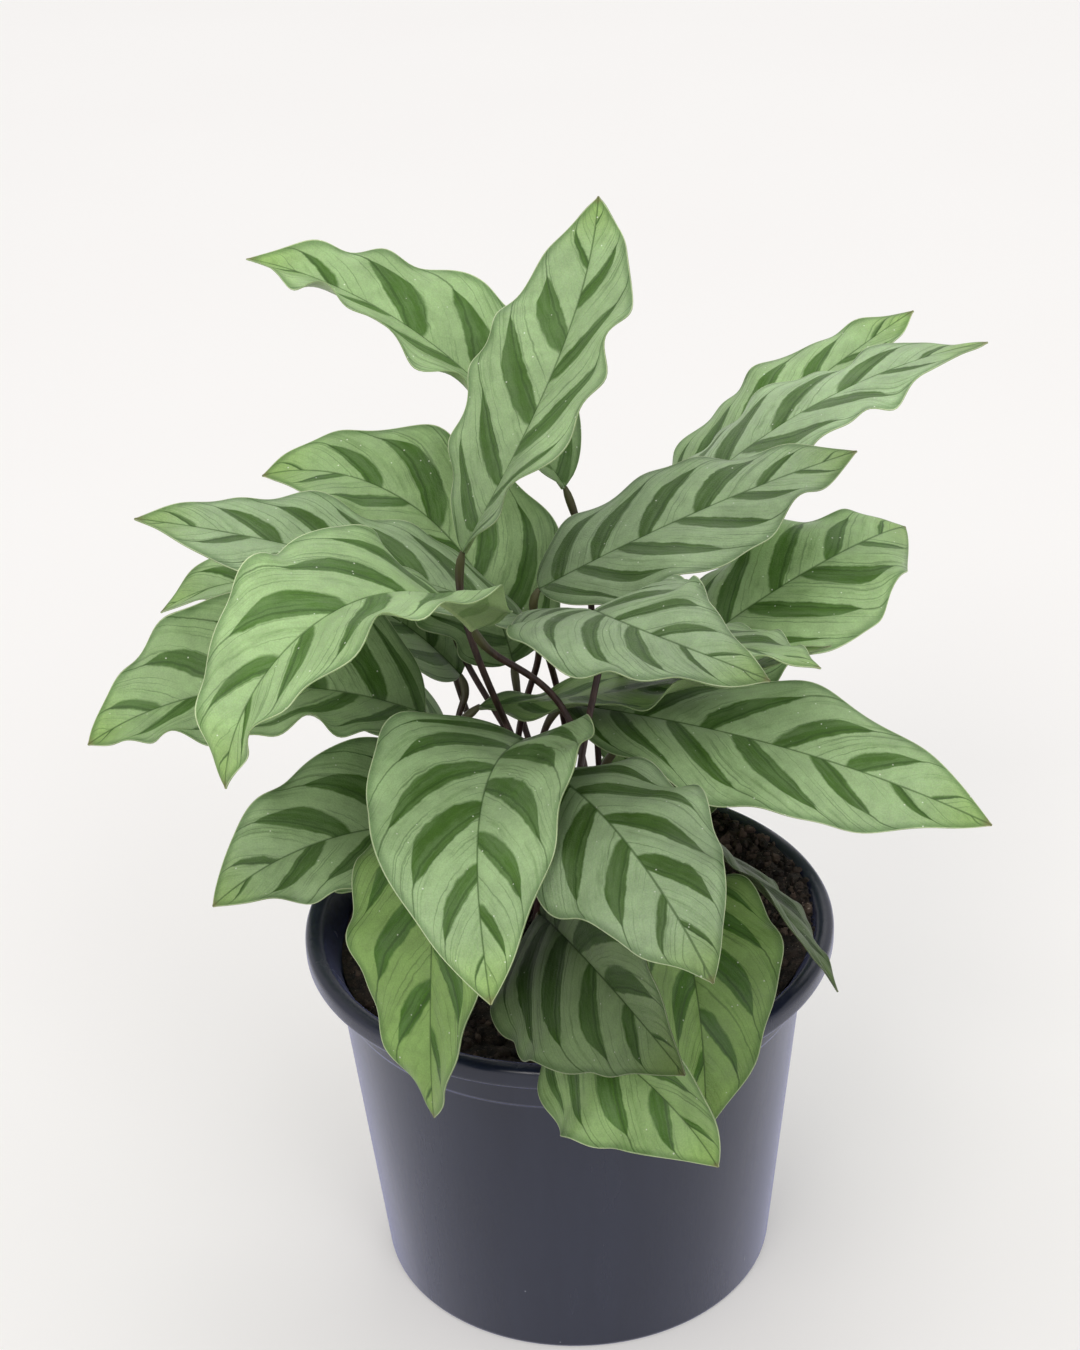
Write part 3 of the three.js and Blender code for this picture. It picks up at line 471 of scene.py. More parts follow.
# Living leaf: a waxy skin over soft tissue. The wax gives a satin sheen, the tissue scatters a
# little light inside, and the bands are pigment, darker along the side veins.
bladeLook = dict(
    light="#9cb48b", lightFresh="#87a85f",
    dark="#45632a", darkFresh="#406a16",
    # margin is a darker band inside the edge, partly the leaf's own dark rim and partly painted shade;
    # edge is a pale rim, partly the leaf's own and partly a painted highlight
    vein="#345020", margin="#3f6030", edge="#c8d3ac", midrib="#3f5c2a",
    tip="#88a854", dryTip="#7d6a48", speck="#dfe6d4",
    under="#84986a", underStripe="#6d8554", underRib="#98a878",
    roughness=0.4,
    shine=0.32,
    shadedShine=0.11,   # painted shade: a leaf in the shade of others is given less gloss
    shadedTone=0.5,     # and its tone is below this
    mottle=240.0,       # per metre: patches about 4 mm across
    cloud=48.0,         # per metre: soft patches about 20 mm across
    grain=2600.0,       # per metre: cells about 0.4 mm across, drawn coarse enough to show
    specks=330.0,       # per metre: dry water marks, one in about 3 mm
    veinlets=9.0,       # fine veins between two side veins
    streaks=5.0,        # darker streaks between two side veins
    tipSide=0.28,       # share of a stripe's width on the tip side of its vein
    wander=0.022,       # how far a stripe's outline strays, as a share of the vein spacing
    relief=0.00018,     # metres: height of the fine relief
    streakDepth=-1.8, veinletHeight=0.1,  # shares of it, beside the grain
    scatter=0.1, scatterDepth=0.001,  # soft light from inside, and from how many metres
)
noiseSpan = (0.3, 0.7)      # most values of a noise lie between these


def leafMaterial(name, shine, under=False):
    # colour by the vein count: its fraction tells where a place lies between two side veins, and
    # a stripe is dark where that is nearer to the vein than the stripe is wide there
    material, add, place = newMaterial(name)
    look = bladeLook
    blade, veins, edges = (add("SeparateXYZ", [add("UVMap", uv_map=key)]).outputs
                           for key in ("blade", "veins", "edges"))
    share, number, width, fromMargin, fromMidrib = blade[1], veins[0], veins[1], edges[0], edges[1]
    fresh, toneWithPaintedLight = (add("Attribute", attribute_name=key).outputs["Fac"]
                       for key in ("fresh", "tone"))
    mottle = add("TexNoise", {"Vector": place, "Scale": look["mottle"], "Detail": 3.0, "Roughness": 0.55})
    cloud = add("TexNoise", {"Vector": place, "Scale": look["cloud"], "Detail": 1.0})
    grain = add("TexNoise", {"Vector": place, "Scale": look["grain"], "Detail": 2.0})
    spot = add("TexVoronoi", {"Vector": place, "Scale": look["specks"]}).outputs

    # the vein count strays a little, so no stripe has a ruled outline
    stray = add("MapRange", (mottle, *noiseSpan, -look["wander"], look["wander"]))
    moved = add("Math", (number, stray), operation="ADD")
    fraction = add("Math", [moved], operation="FRACT")
    before = add("Math", (bladeShape["stripeEdge"], fraction), operation="SUBTRACT")
    fromVein = add("Math", [before], operation="ABSOLUTE")
    tipEdge = add("Math", (width, look["tipSide"], before), operation="MULTIPLY_ADD")
    footWidth = add("Math", (width, 1 - look["tipSide"]), operation="MULTIPLY")
    footEdge = add("Math", (footWidth, before), operation="SUBTRACT")

    # fine lines that run along the side veins: noise stretched along them
    lines = {}
    for key, often, along in (("streak", 1, 0.07), ("veinlet", 4, 0.04)):
        across = add("Math", (moved, often * look["streaks"]), operation="MULTIPLY")
        onward = add("Math", (fromMidrib, along), operation="MULTIPLY")
        stretched = add("CombineXYZ", (across, onward))
        lines[key] = add("TexNoise", {"Vector": stretched, "Scale": 1.0, "Detail": 4.0 / often,
                                      "Roughness": 0.7})
    wave = add("Math", (moved, 2 * math.pi * look["veinlets"]), operation="MULTIPLY")
    ripple = add("Math", [wave], operation="SINE")

    # where each layer of colour lies: value, low, high, how much of it at low and at high
    ranges = {
        "tipEdge": (tipEdge, -0.015, 0.035, 0.0, 1.0),
        "footEdge": (footEdge, -0.015, 0.045, 0.0, 1.0),
        "vein": (fromVein, 0.01, 0.035, 0.62, 0.0),
        "streak": (lines["streak"], 0.5, 0.72, 0.0, 0.38),
        "paleStreak": (lines["streak"], 0.35, 0.65, 0.0, 0.16),
        "veinlet": (lines["veinlet"], 0.58, 0.7, 0.0, 0.42),
        "midrib": (fromMidrib, 0.12, 0.42, 0.7, 0.0),
        "underRib": (fromMidrib, 0.3, 0.9, 0.85, 0.0),
        "tip": (share, 0.8, 1.0, 0.0, 0.7),
        "dryTip": (share, 0.97, 0.995, 0.0, 0.45),
        # darker toward the foot: painted shade where the blade meets its stalk
        "foot": (share, 0.0, 0.16, 0.45, 0.0),
        # darker band inside the margin, partly the leaf's own rim and partly painted shade, then a pale
        # rim, partly the leaf's own and partly a painted highlight
        "margin": (fromMargin, 0.4, 2.8, 0.5, 0.0),
        "edge": (fromMargin, 0.14, 0.34, 0.7, 0.0),
        "speckCore": (spot["Distance"], 0.05, 0.09, 0.7, 0.0),
        "speckChosen": (spot["Color"], 0.4, 0.45, 0.0, 1.0),
        "mottle": (mottle, *noiseSpan, 0.92, 1.08),
        "cloud": (cloud, *noiseSpan, 0.92, 1.08),
        "grain": (grain, *noiseSpan, 0.93, 1.07),
        # dims the blade toward its foot, in the middle of the plant: painted shade
        "paintedFootShade": (share, 0.0, 0.45, 0.76, 1.03),
        "rough": (mottle, *noiseSpan, look["roughness"] - 0.06, look["roughness"] + 0.1),
    }
    part = {key: add("MapRange", limits, interpolation_type="SMOOTHSTEP")
            for key, limits in ranges.items()}
    part["stripe"] = add("Math", (part["tipEdge"], part["footEdge"]), operation="MULTIPLY")
    part["speck"] = add("Math", (part["speckCore"], part["speckChosen"]), operation="MULTIPLY")

    # tones in the order they lie on each other
    if under:
        colour = look["under"]
        layers = {"stripe": look["underStripe"], "streak": look["underStripe"],
                  "underRib": look["underRib"]}
    else:
        colour = add("Mix", (fresh, look["light"], look["lightFresh"]), data_type="RGBA")
        dark = add("Mix", (fresh, look["dark"], look["darkFresh"]), data_type="RGBA")
        stripe = add("Mix", (part["paleStreak"], dark, look["light"]), data_type="RGBA")
        layers = {"tip": look["tip"], "foot": dark, "streak": dark, "stripe": stripe,
                  "vein": look["vein"], "veinlet": look["vein"], "margin": look["margin"],
                  "edge": look["edge"], "midrib": look["midrib"], "dryTip": look["dryTip"],
                  "speck": look["speck"]}
    for key, tone in layers.items():
        colour = add("Mix", (part[key], colour, tone), data_type="RGBA")

    # brightness: the leaf's tone, which holds painted light and shade besides its own green, times random
    # patches and a painted shade toward the foot
    value = toneWithPaintedLight
    for change in ("mottle", "cloud", "grain", "paintedFootShade"):
        value = add("Math", (value, part[change]), operation="MULTIPLY")
    toned = add("HueSaturation", {"Color": colour, "Value": value})
    sunk = add("Math", (lines["streak"], look["streakDepth"], grain), operation="MULTIPLY_ADD")
    raised = add("Math", (ripple, look["veinletHeight"], sunk), operation="MULTIPLY_ADD")
    bump = add("Bump", {"Height": raised, "Strength": 0.6, "Distance": look["relief"]})
    skin = add("BsdfPrincipled", {
        "Base Color": toned, "Roughness": part["rough"], "Normal": bump, "IOR": 1.43,
        "Specular IOR Level": shine, "Subsurface Weight": look["scatter"],
        "Subsurface Scale": look["scatterDepth"], "Subsurface Radius": (0.5, 1.0, 0.25)})
    add("OutputMaterial", {"Surface": skin})
    return material


leafTop = leafMaterial("waxyLeafSkin", bladeLook["shine"])
# a copy of the leaf skin with less gloss, for leaves in the shade of others: painted shade
leafShaded = leafMaterial("shadedLeafSkin", bladeLook["shadedShine"])
leafUnder = leafMaterial("leafUnderside", bladeLook["shine"], under=True)
for count, (name, leaf) in enumerate(leaves.items()):
    leaf["number"] = count
    skin = leafShaded if leaf["tone"] < bladeLook["shadedTone"] else leafTop
    blade = makeBlade(name + "_blade", leaf, [skin, leafUnder])
    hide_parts(name)
    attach(blade, "root")
print("blades:", len(leaves))

stalkShape = dict(
    radius=0.92, footRadius=2.3, footLength=16.0,
    jointRadius=1.2, jointLength=9.0,  # the thicker part below the blade
    endTaper=0.62, endLength=2.5,
    rootHeight=92.0, startDepth=8.0, leanShare=0.25, endShare=0.22, uplift=0.8,
    steps=56, sides=14,
)
crownShape = dict(
    height=106.0, radius=7.6, skirt=92.0, sides=48, rings=14,
    flatness=2.4, topShare=0.995,  # a higher power makes a flatter dome
    lobes=(5, 0.09), creases=(11, 0.05), edgeWaves=(7, 2.0),  # how many, and how deep
    toBlade=200.0,      # millimetres: far enough from the blades to have no green joint
)
stalkLook = dict(
    bark="#2e1c1c", barkLight="#4d3631", joint="#4f5030", roughness=0.4,
    jointFade=(2.0, 13.0),  # millimetres from the blade where its green begins to fade, and ends
    flecks=900.0,       # per metre: flecks about 1 mm wide
    sheath="#4a402d", sheathDark="#2a1f18", sheathRoughness=0.8,
    fibres=700.0,       # per metre: dry fibres about 1.4 mm wide
    fleckStretch=0.16, fibreStretch=0.2,  # upward, the less the longer
)


def stalkPath(leaf):
    # a curve with five control points, from the shoot to the blade's foot
    pitch, heading = math.radians(leaf["pitch"][0]), math.radians(leaf["heading"][0])
    end = np.array([math.cos(pitch) * math.cos(heading), math.cos(pitch) * math.sin(heading),
                    math.sin(pitch) + stalkShape["uplift"]])
    end /= np.linalg.norm(end)
    foot = np.array(leaf["foot"], float)
    root = np.array([*leaf["root"], stalkShape["rootHeight"]], float)
    reach = np.linalg.norm(foot - root)
    lean = np.array([*leaf["lean"], stalkShape["leanShare"] * (foot[2] - root[2])])
    controls = [root, root + lean, np.array(leaf["via"], float),
                foot - end * leaf.get("hook", stalkShape["endShare"]) * reach, foot]
    t = np.linspace(0, 1, stalkShape["steps"])[:, None]
    path = sum(math.comb(4, i) * (1 - t) ** (4 - i) * t ** i * control
               for i, control in enumerate(controls))
    return np.vstack([root - [0, 0, stalkShape["startDepth"]], path])


def tubeAround(path, radius, sides):
    # rings of points square to the path, at each point's own radius
    along = np.gradient(path, axis=0)
    along /= np.linalg.norm(along, axis=1, keepdims=True)
    chord = path[-1] - path[0]
    level = np.array([-chord[1], chord[0], 0.0])
    level = np.array([1.0, 0, 0]) if np.linalg.norm(level) < 1 else level
    first = level - (along @ level)[:, None] * along
    first /= np.linalg.norm(first, axis=1, keepdims=True)
    second = np.cross(along, first)
    angle = around(sides)[None, :, None]
    ring = np.cos(angle) * first[:, None, :] + np.sin(angle) * second[:, None, :]
    return path[:, None, :] + ring * radius[:, None, None]


def closedTubes(tubes):
    # quads along each tube of rings, with a fan of triangles on both its ends. Gives the points,
    # the faces and the number of each face's tube
    points, faces, owners = [], [], []
    for count, rings in enumerate(tubes):
        rows, sides = rings.shape[:2]
        start = sum(map(len, points))
        points.append(np.vstack([rings.reshape(-1, 3), rings[0].mean(axis=0), rings[-1].mean(axis=0)]))
        ring, beside = np.arange(sides), (np.arange(sides) + 1) % sides
        first = np.stack([beside, ring, np.full(sides, rows * sides)], axis=-1)
        last = np.stack([ring, beside, np.full(sides, sides + 1)], axis=-1) + (rows - 1) * sides
        ends = np.concatenate([first, last]) + start
        faces += gridFaces(rows, sides, start=start, closed=True).tolist() + ends.tolist()
        owners += [count] * (len(faces) - len(owners))
    return np.vstack(points), faces, np.array(owners)


def stalkRadius(run, left):
    # slim, with a bell curve of the run from the foot and one round the joint added, and tapered
    # into the blade in a straight line
    shape = stalkShape
    atFoot = np.exp(-(run / shape["footLength"]) ** 1.5)
    atJoint = np.exp(-((left - 0.5 * shape["jointLength"]) / shape["jointLength"] * 2) ** 2)
    radius = (shape["radius"] + (shape["footRadius"] - shape["radius"]) * atFoot
              + (shape["jointRadius"] - shape["radius"]) * atJoint)
    return radius * np.interp(left, [0, shape["endLength"]], [shape["endTaper"], 1])


def crownRings(centre):
    # a low dome of old sheaths: a flattened quarter circle turned about the shoot's middle, with
    # lobes and creases as sines of the angle and a waved edge
    shape = crownShape
    angle = around(shape["sides"])[None, :]
    t = np.linspace(0, 1, shape["rings"])[:, None]
    (lobes, lobeDepth), (creases, creaseDepth) = shape["lobes"], shape["creases"]
    outline = (1 + lobeDepth * np.sin(lobes * angle + centre[0])
               + creaseDepth * np.sin(creases * angle + centre[1]) * (1 - t))
    bulge = np.sqrt(1 - np.clip(t, 0, shape["topShare"]) ** shape["flatness"])
    radius = shape["radius"] * bulge * outline
    waves, waveHeight = shape["edgeWaves"]
    height = (shape["skirt"] + (shape["height"] - shape["skirt"]) * t
              + waveHeight * np.sin(waves * angle + centre[0]) * t * (1 - t))
    return circle(radius, angle, height, centre)


def makeShoot(name, materials):
    # the shoot's stalks, each a tube along its path, and the crown that they rise from
    tubes, toBlade = [], []
    for leaf in [leaf for leaf in leaves.values() if leaf["shoot"] == name]:
        path = stalkPath(leaf)
        run = np.concatenate([[0], np.cumsum(np.linalg.norm(np.diff(path, axis=0), axis=1))])
        left = run[-1] - run
        tubes.append(tubeAround(path, stalkRadius(run, left), stalkShape["sides"]))
        toBlade += [np.repeat(left, stalkShape["sides"]), [left[0], 0]]
    points, faces, owners = closedTubes([*tubes, crownRings(shoots[name])])
    shoot = makePiece(name + "_stalks", points, faces, materials, owners == len(tubes))
    toBlade = np.concatenate(toBlade)
    crown = np.full(len(points) - len(toBlade), crownShape["toBlade"])
    setTrait(shoot.data, "toBlade", np.concatenate([toBlade, crown]))
    return shoot


def stalkMaterial():
    # Stalk: smooth skin, wine-brown with lighter flecks along it, greener at the joint
    material, add, place = newMaterial("stalkSkin")
    look = stalkLook
    stretched = add("Mapping", {"Vector": place, "Scale": (1, 1, look["fleckStretch"])})
    fleck = add("TexNoise", {"Vector": stretched, "Scale": look["flecks"], "Detail": 3.0})
    toBlade = add("Attribute", attribute_name="toBlade").outputs["Fac"]
    joint = add("MapRange", (toBlade, *look["jointFade"], 0.8, 0.0), interpolation_type="SMOOTHSTEP")
    fleckShare = add("MapRange", (fleck, 0.42, 0.7, 0.0, 0.75))
    bark = add("Mix", (fleckShare, look["bark"], look["barkLight"]), data_type="RGBA")
    colour = add("Mix", (joint, bark, look["joint"]), data_type="RGBA")
    rough = add("MapRange", (fleck, 0.0, 1.0, look["roughness"] - 0.08, look["roughness"] + 0.12))
    bump = add("Bump", {"Height": fleck, "Strength": 0.4, "Distance": 0.0002})
    skin = add("BsdfPrincipled", {"Base Color": colour, "Roughness": rough, "Normal": bump, "IOR": 1.43})
    add("OutputMaterial", {"Surface": skin})
    return material


def sheathMaterial():
    # Old leaf sheaths: dry papery skin, dull brown, streaked upward
    material, add, place = newMaterial("drySheath")
    look = stalkLook
    stretched = add("Mapping", {"Vector": place, "Scale": (1, 1, look["fibreStretch"])})
    fibre = add("TexNoise", {"Vector": stretched, "Scale": look["fibres"], "Detail": 4.0})
    colour = add("Mix", (fibre, look["sheathDark"], look["sheath"]), data_type="RGBA")
    bump = add("Bump", {"Height": fibre, "Strength": 0.7, "Distance": 0.0006})
    skin = add("BsdfPrincipled", {"Base Color": colour, "Roughness": look["sheathRoughness"],
                                  "Normal": bump})
    add("OutputMaterial", {"Surface": skin})
    return material


stalkSkin, drySheath = stalkMaterial(), sheathMaterial()
for name in shoots:
    shoot = makeShoot(name, [stalkSkin, drySheath])
    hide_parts(name)
    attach(shoot, "root")
print("shoots:", len(shoots))

potShape = dict(
    height=110.0, baseRadius=57.5, wallTopRadius=67.5,
    lipRadius=75.0, lipBottom=104.0, lipWidth=4.6, lipWallDrop=1.6,
    wall=1.5, floor=4.5, footWidth=7.5, padRadius=18.0, recess=3.0,
    padSlope=1.0, footSlope=2.0, footInset=0.3,
    ledgeBelowLip=12.0, ledgeStep=0.7, ledgeRise=0.9,
    holeCount=8, holeRadius=5.0, holeCircle=34.0, drillReach=2.0,
    sides=256, holeSides=40, pole=0.05,  # radius of the smallest ring
    weld=0.0005,        # points nearer than this are one
)
potLook = dict(
    body="#191e31", worn="#242a3e", roughness=0.2,
    grain=4200.0,       # per metre: grain about 0.25 mm, drawn coarse enough to show
    flow=60.0,          # per metre: faint upright streaks 15 mm apart
    flowStretch=0.12,   # upward, the less the longer
    dust="#8d91a2", dustSpots=160.0,  # per metre: specks of dust, at most one in 6 mm
    bloom="#b2b9f6", bloomWeight=0.55, bloomRoughness=0.32,
)


def innerRadius(height):
    # the wall leans outward in a straight line from the floor to the lip
    shape = potShape
    bottom = shape["baseRadius"] - shape["wall"]
    share = (height - shape["floor"]) / (shape["lipBottom"] - shape["floor"])
    return bottom + (shape["wallTopRadius"] - shape["wall"] - bottom) * share


def roundedProfile(corners, steps=5):
    # each corner (radius, height, rounding) becomes a short parabola between its two sides
    xy = np.array([corner[:2] for corner in corners], float)
    t = np.linspace(0, 1, steps)[:, None]
    out = [xy[:1]]
    for i in range(1, len(xy) - 1):
        into, away = xy[i - 1] - xy[i], xy[i + 1] - xy[i]
        reach = min(corners[i][2], 0.45 * np.linalg.norm(into), 0.45 * np.linalg.norm(away))
        start = xy[i] + into / np.linalg.norm(into) * reach
        end = xy[i] + away / np.linalg.norm(away) * reach
        out.append((1 - t) ** 2 * start + 2 * t * (1 - t) * xy[i] + t ** 2 * end)
    return np.vstack([*out, xy[-1:]])


def turnedRings(profile, sides):
    # a profile of radii and heights, turned about the upright axis
    return circle(profile[:, :1], around(sides)[None, :], profile[:, 1:])


def makePot(material):
    # a profile turned about the pot's axis, then drilled for the drainage holes
    shape = potShape
    lipBottom = shape["lipBottom"]
    ledge = lipBottom - shape["ledgeBelowLip"]
    footInside = shape["baseRadius"] - shape["footWidth"]
    ledgeRadius = innerRadius(ledge) + shape["wall"]
    wallTop = innerRadius(lipBottom) + shape["wall"] + shape["ledgeStep"]
    corners = [     # radius, height, rounding
        (shape["pole"], 0, 0), (shape["padRadius"], 0, 0.6),
        (shape["padRadius"] + shape["padSlope"], shape["recess"], 0.6),
        (footInside - shape["footSlope"], shape["recess"], 0.8),
        (footInside, 0, 0.8), (shape["baseRadius"] - shape["footInset"], 0, 1.6),
        (ledgeRadius, ledge, 0.7),
        (ledgeRadius + shape["ledgeStep"], ledge + shape["ledgeRise"], 0.5),
        (wallTop, lipBottom, 0.9), (shape["lipRadius"], lipBottom, 1.5),
        (shape["lipRadius"], shape["height"], 2.1),
        (shape["lipRadius"] - shape["lipWidth"], shape["height"], 1.8),
        (innerRadius(lipBottom), lipBottom - shape["lipWallDrop"], 2.2),
        (innerRadius(shape["floor"]), shape["floor"], 2.0), (shape["pole"], shape["floor"], 0),
    ]
    points, faces, _ = closedTubes([turnedRings(roundedProfile(corners), shape["sides"])])
    pot = makePiece("pot_body", points, faces, [material], sharpAngle=45)
    side = np.array([[shape["holeRadius"], -shape["drillReach"]],
                     [shape["holeRadius"], shape["floor"] + shape["drillReach"]]])
    points, faces, _ = closedTubes([turnedRings(side, shape["holeSides"]) + centre for centre in
                                    circle(shape["holeCircle"], around(shape["holeCount"]), 0)])
    drill = makePiece("drill", points, faces, [material])
    cut = pot.modifiers.new("drainageHoles", "BOOLEAN")
    cut.object, cut.operation, cut.solver = drill, "DIFFERENCE", "EXACT"
    drilled = pot.evaluated_get(bpy.context.evaluated_depsgraph_get())
    pot.data = bpy.data.meshes.new_from_object(drilled)
    pot.modifiers.clear()
    bpy.data.objects.remove(drill)
    # where a hole touches a seam of the floor, its rim has the same point twice
    shell = bmesh.new()
    shell.from_mesh(pot.data)
    bmesh.ops.remove_doubles(shell, verts=shell.verts, dist=shape["weld"] * mm)
    shell.to_mesh(pot.data)
    shell.free()
    return pot


def potMaterial():
    # Moulded polypropylene, with the fine satin grain of its mould: soft broad highlights, faint
    # upright streaks of uneven gloss, a bluish bloom where the wall turns away, and a little dust
    material, add, place = newMaterial("mouldedPolypropylene")
    look = potLook
    grain = add("TexNoise", {"Vector": place, "Scale": look["grain"], "Detail": 2.0})
    upright = add("Mapping", {"Vector": place, "Scale": (1, 1, look["flowStretch"])})
    streak = add("TexNoise", {"Vector": upright, "Scale": look["flow"], "Detail": 5.0, "Roughness": 0.62})
    worn = add("MapRange", (streak, 0.35, 0.75, 0.0, 0.55))
    body = add("Mix", (worn, look["body"], look["worn"]), data_type="RGBA")
    spot = add("TexVoronoi", {"Vector": place, "Scale": look["dustSpots"]}).outputs
    core = add("MapRange", (spot["Distance"], 0.02, 0.05, 0.7, 0.0))
    chosen = add("MapRange", (spot["Color"], 0.66, 0.7))
    dust = add("Math", (core, chosen), operation="MULTIPLY")
    colour = add("Mix", (dust, body, look["dust"]), data_type="RGBA")
    rough = add("MapRange", (streak, *noiseSpan, look["roughness"] - 0.05, look["roughness"] + 0.1))
    bump = add("Bump", {"Height": grain, "Strength": 0.3, "Distance": 0.0001})
    plastic = add("BsdfPrincipled", {
        "Base Color": colour, "Roughness": rough, "Normal": bump, "IOR": 1.49,
        "Sheen Weight": look["bloomWeight"], "Sheen Roughness": look["bloomRoughness"],
        "Sheen Tint": look["bloom"]})
    add("OutputMaterial", {"Surface": plastic})
    return material


pot = makePot(potMaterial())
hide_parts("pot")
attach(pot, "root")
print("pot faces:", len(pot.data.polygons))

soilShape = dict(
    top=101.0, clearance=0.35, lump=0.8, lumpLength=7.0, heap=3.0,
    climb=6.5,          # how far the soil is pushed up against the wall
    climbToward=40.0,   # most on the side that lies in this direction
    climbElsewhere=0.35,  # and by this share of it elsewhere
    climbWidth=14.0, highest=109.6,
    crumbly=((0.9, 6.0, 3), (0.6, 2.8, 4), (0.35, 1.4, 5)),  # height, size, seed of finer lumps
    crumblyScale=0.75, calmEdge=0.05, calmShare=0.3,  # lower on the outermost twentieth
    wallGap=0.5, cornerCut=2.5, neckDrop=0.5,
    rings=150, sides=320, pole=0.05, innermost=0.00002,
)
crumbShape = dict(
    count=1500, sizes=(0.4, 1.7), fromWall=2.5,
    smallShare=2.2, darkShare=1.5,  # a higher power makes more small or dark crumbs
    bankShare=3,        # one in this many lies on the bank
    bankAngle=0.9,      # radians to both sides of the bank's middle
    sides=8, up=6, knobs=0.28, mostKnob=1.5, stretch=(0.6, 1.5), raised=0.35,
)
soilLook = dict(
    peat="#14100e", peatLight="#45372f", bark="#66554b", grit="#b4a698", roughness=0.92,
    lumps=420.0,        # per metre: lumps about 2.5 mm across
    fibre=1700.0,       # per metre: fibres and grit about 0.6 mm across
)


def wallRadius(height):
    # the pot's inner wall, straight up to the lip and then sloped outward
    slope = [potShape["lipBottom"] - potShape["lipWallDrop"], potShape["height"]]
    reach = [innerRadius(potShape["lipBottom"]), potShape["lipRadius"] - potShape["lipWidth"]]
    return np.where(height < slope[0], innerRadius(height), np.interp(height, slope, reach))


def soilHeight(x, y):
    # lumps as products of sines, on a slope toward the right and the back, and a bank that climbs
    # the wall on one side
    shape = soilShape
    length = shape["lumpLength"]
    lumps = np.sin(x / length + 1) * np.cos(y / length) + np.sin((x + y) / (2 * length))
    slope = shape["heap"] * (x + y) / potShape["wallTopRadius"]
    onSide = np.cos(np.arctan2(y, x) - math.radians(shape["climbToward"])).clip(0, 1)
    onSide = shape["climbElsewhere"] + (1 - shape["climbElsewhere"]) * onSide
    fromWall = (potShape["wallTopRadius"] - np.hypot(x, y)).clip(0, None)
    bank = shape["climb"] * onSide * np.exp(-(fromWall / shape["climbWidth"]) ** 2)
    return np.minimum(shape["top"] + shape["lump"] * lumps + slope + bank, shape["highest"])


def makeSoil(material):
    # rings from the wall to the middle, at the soil's height with finer lumps on top, closed by a
    # side that follows the wall and a flat underside
    shape = soilShape
    bottom = potShape["floor"] + shape["clearance"]
    angle = around(shape["sides"])[None, :]
    edge = innerRadius(shape["top"])
    for _ in range(3):      # the wall leans, so its radius is found at the height of the soil there
        height = soilHeight(edge * np.cos(angle), edge * np.sin(angle))
        edge = wallRadius(height) - shape["wallGap"]
    radius = edge * np.sqrt(np.linspace(1, shape["innermost"], shape["rings"]))[:, None]
    x, y = radius * np.cos(angle), radius * np.sin(angle)
    base, grains, fines = (high * softNoise(x, y, size, seed) for high, size, seed in shape["crumbly"])
    inward = (1 - radius / edge).clip(0, shape["calmEdge"]) / shape["calmEdge"]
    calm = shape["crumblyScale"] * (shape["calmShare"] + (1 - shape["calmShare"]) * inward)
    top = np.stack([x, y, soilHeight(x, y) + (base + np.abs(grains) + fines) * calm], axis=-1)
    neck = np.minimum(height - shape["neckDrop"], potShape["lipBottom"] - potShape["lipWallDrop"])
    low = bottom + shape["cornerCut"]
    sideHeight = np.vstack([0 * neck + bottom, 0 * neck + bottom, 0 * neck + low, neck])
    sideRadius = wallRadius(sideHeight) - shape["wallGap"]
    sideRadius[0] = shape["pole"]
    sideRadius[1] -= shape["cornerCut"]
    side = circle(sideRadius, angle, sideHeight)
    points, faces, _ = closedTubes([np.concatenate([side, top])])
    return makePiece("soil_body", points, faces, [material], sharpAngle=75)


def makeCrumbs(material):
    # crumbs: small balls pushed out of shape, strewn over the soil, more of them on its bank
    shape = crumbShape
    count = shape["count"]
    radius = (innerRadius(soilShape["top"]) - shape["fromWall"]) * np.sqrt(chance.uniform(0, 1, count))
    angle = chance.uniform(0, 2 * np.pi, count)
    banked = count // shape["bankShare"]
    inward = chance.uniform(-shape["fromWall"], soilShape["climbWidth"], banked)
    radius[:banked] = potShape["wallTopRadius"] - inward
    angle[:banked] = (math.radians(soilShape["climbToward"])
                      + chance.uniform(-shape["bankAngle"], shape["bankAngle"], banked))
    x, y = radius * np.cos(angle), radius * np.sin(angle)
    low, high = shape["sizes"]
    size = low + (high - low) * chance.uniform(0, 1, count) ** shape["smallShare"]
    polar = np.linspace(0, np.pi, shape["up"])[1:-1, None]
    band = circle(np.sin(polar), around(shape["sides"]), np.cos(polar)).reshape(-1, 3)
    unit = np.vstack([band, [0, 0, 1], [0, 0, -1]])
    knobs = chance.normal(size=(count, len(unit), 1)).clip(-shape["mostKnob"], shape["mostKnob"])
    stretch = chance.uniform(*shape["stretch"], size=(count, 1, 3))
    balls = unit[None] * (1 + shape["knobs"] * knobs) * stretch * size[:, None, None]
    centres = np.stack([x, y, soilHeight(x, y) + shape["raised"] * size], axis=-1)
    ring = np.arange(shape["sides"])
    beside = (ring + 1) % len(ring)
    lowest = len(band) - len(ring)
    cap = np.stack([ring, beside, np.full(len(ring), len(band))], axis=-1)
    base = np.stack([lowest + beside, lowest + ring, np.full(len(ring), len(band) + 1)], axis=-1)
    first = (np.arange(count) * len(unit))[:, None, None]
    walls = (gridFaces(len(polar), len(ring), closed=True)[:, ::-1][None] + first).reshape(-1, 4)
    ends = (np.concatenate([cap, base])[None] + first).reshape(-1, 3)
    crumbs = makePiece("soil_crumbs", (balls + centres[:, None, :]).reshape(-1, 3),
                       walls.tolist() + ends.tolist(), [material], sharpAngle=60)
    setTrait(crumbs.data, "bark", np.repeat(chance.uniform(0, 1, count) ** shape["darkShare"], len(unit)))
    return crumbs


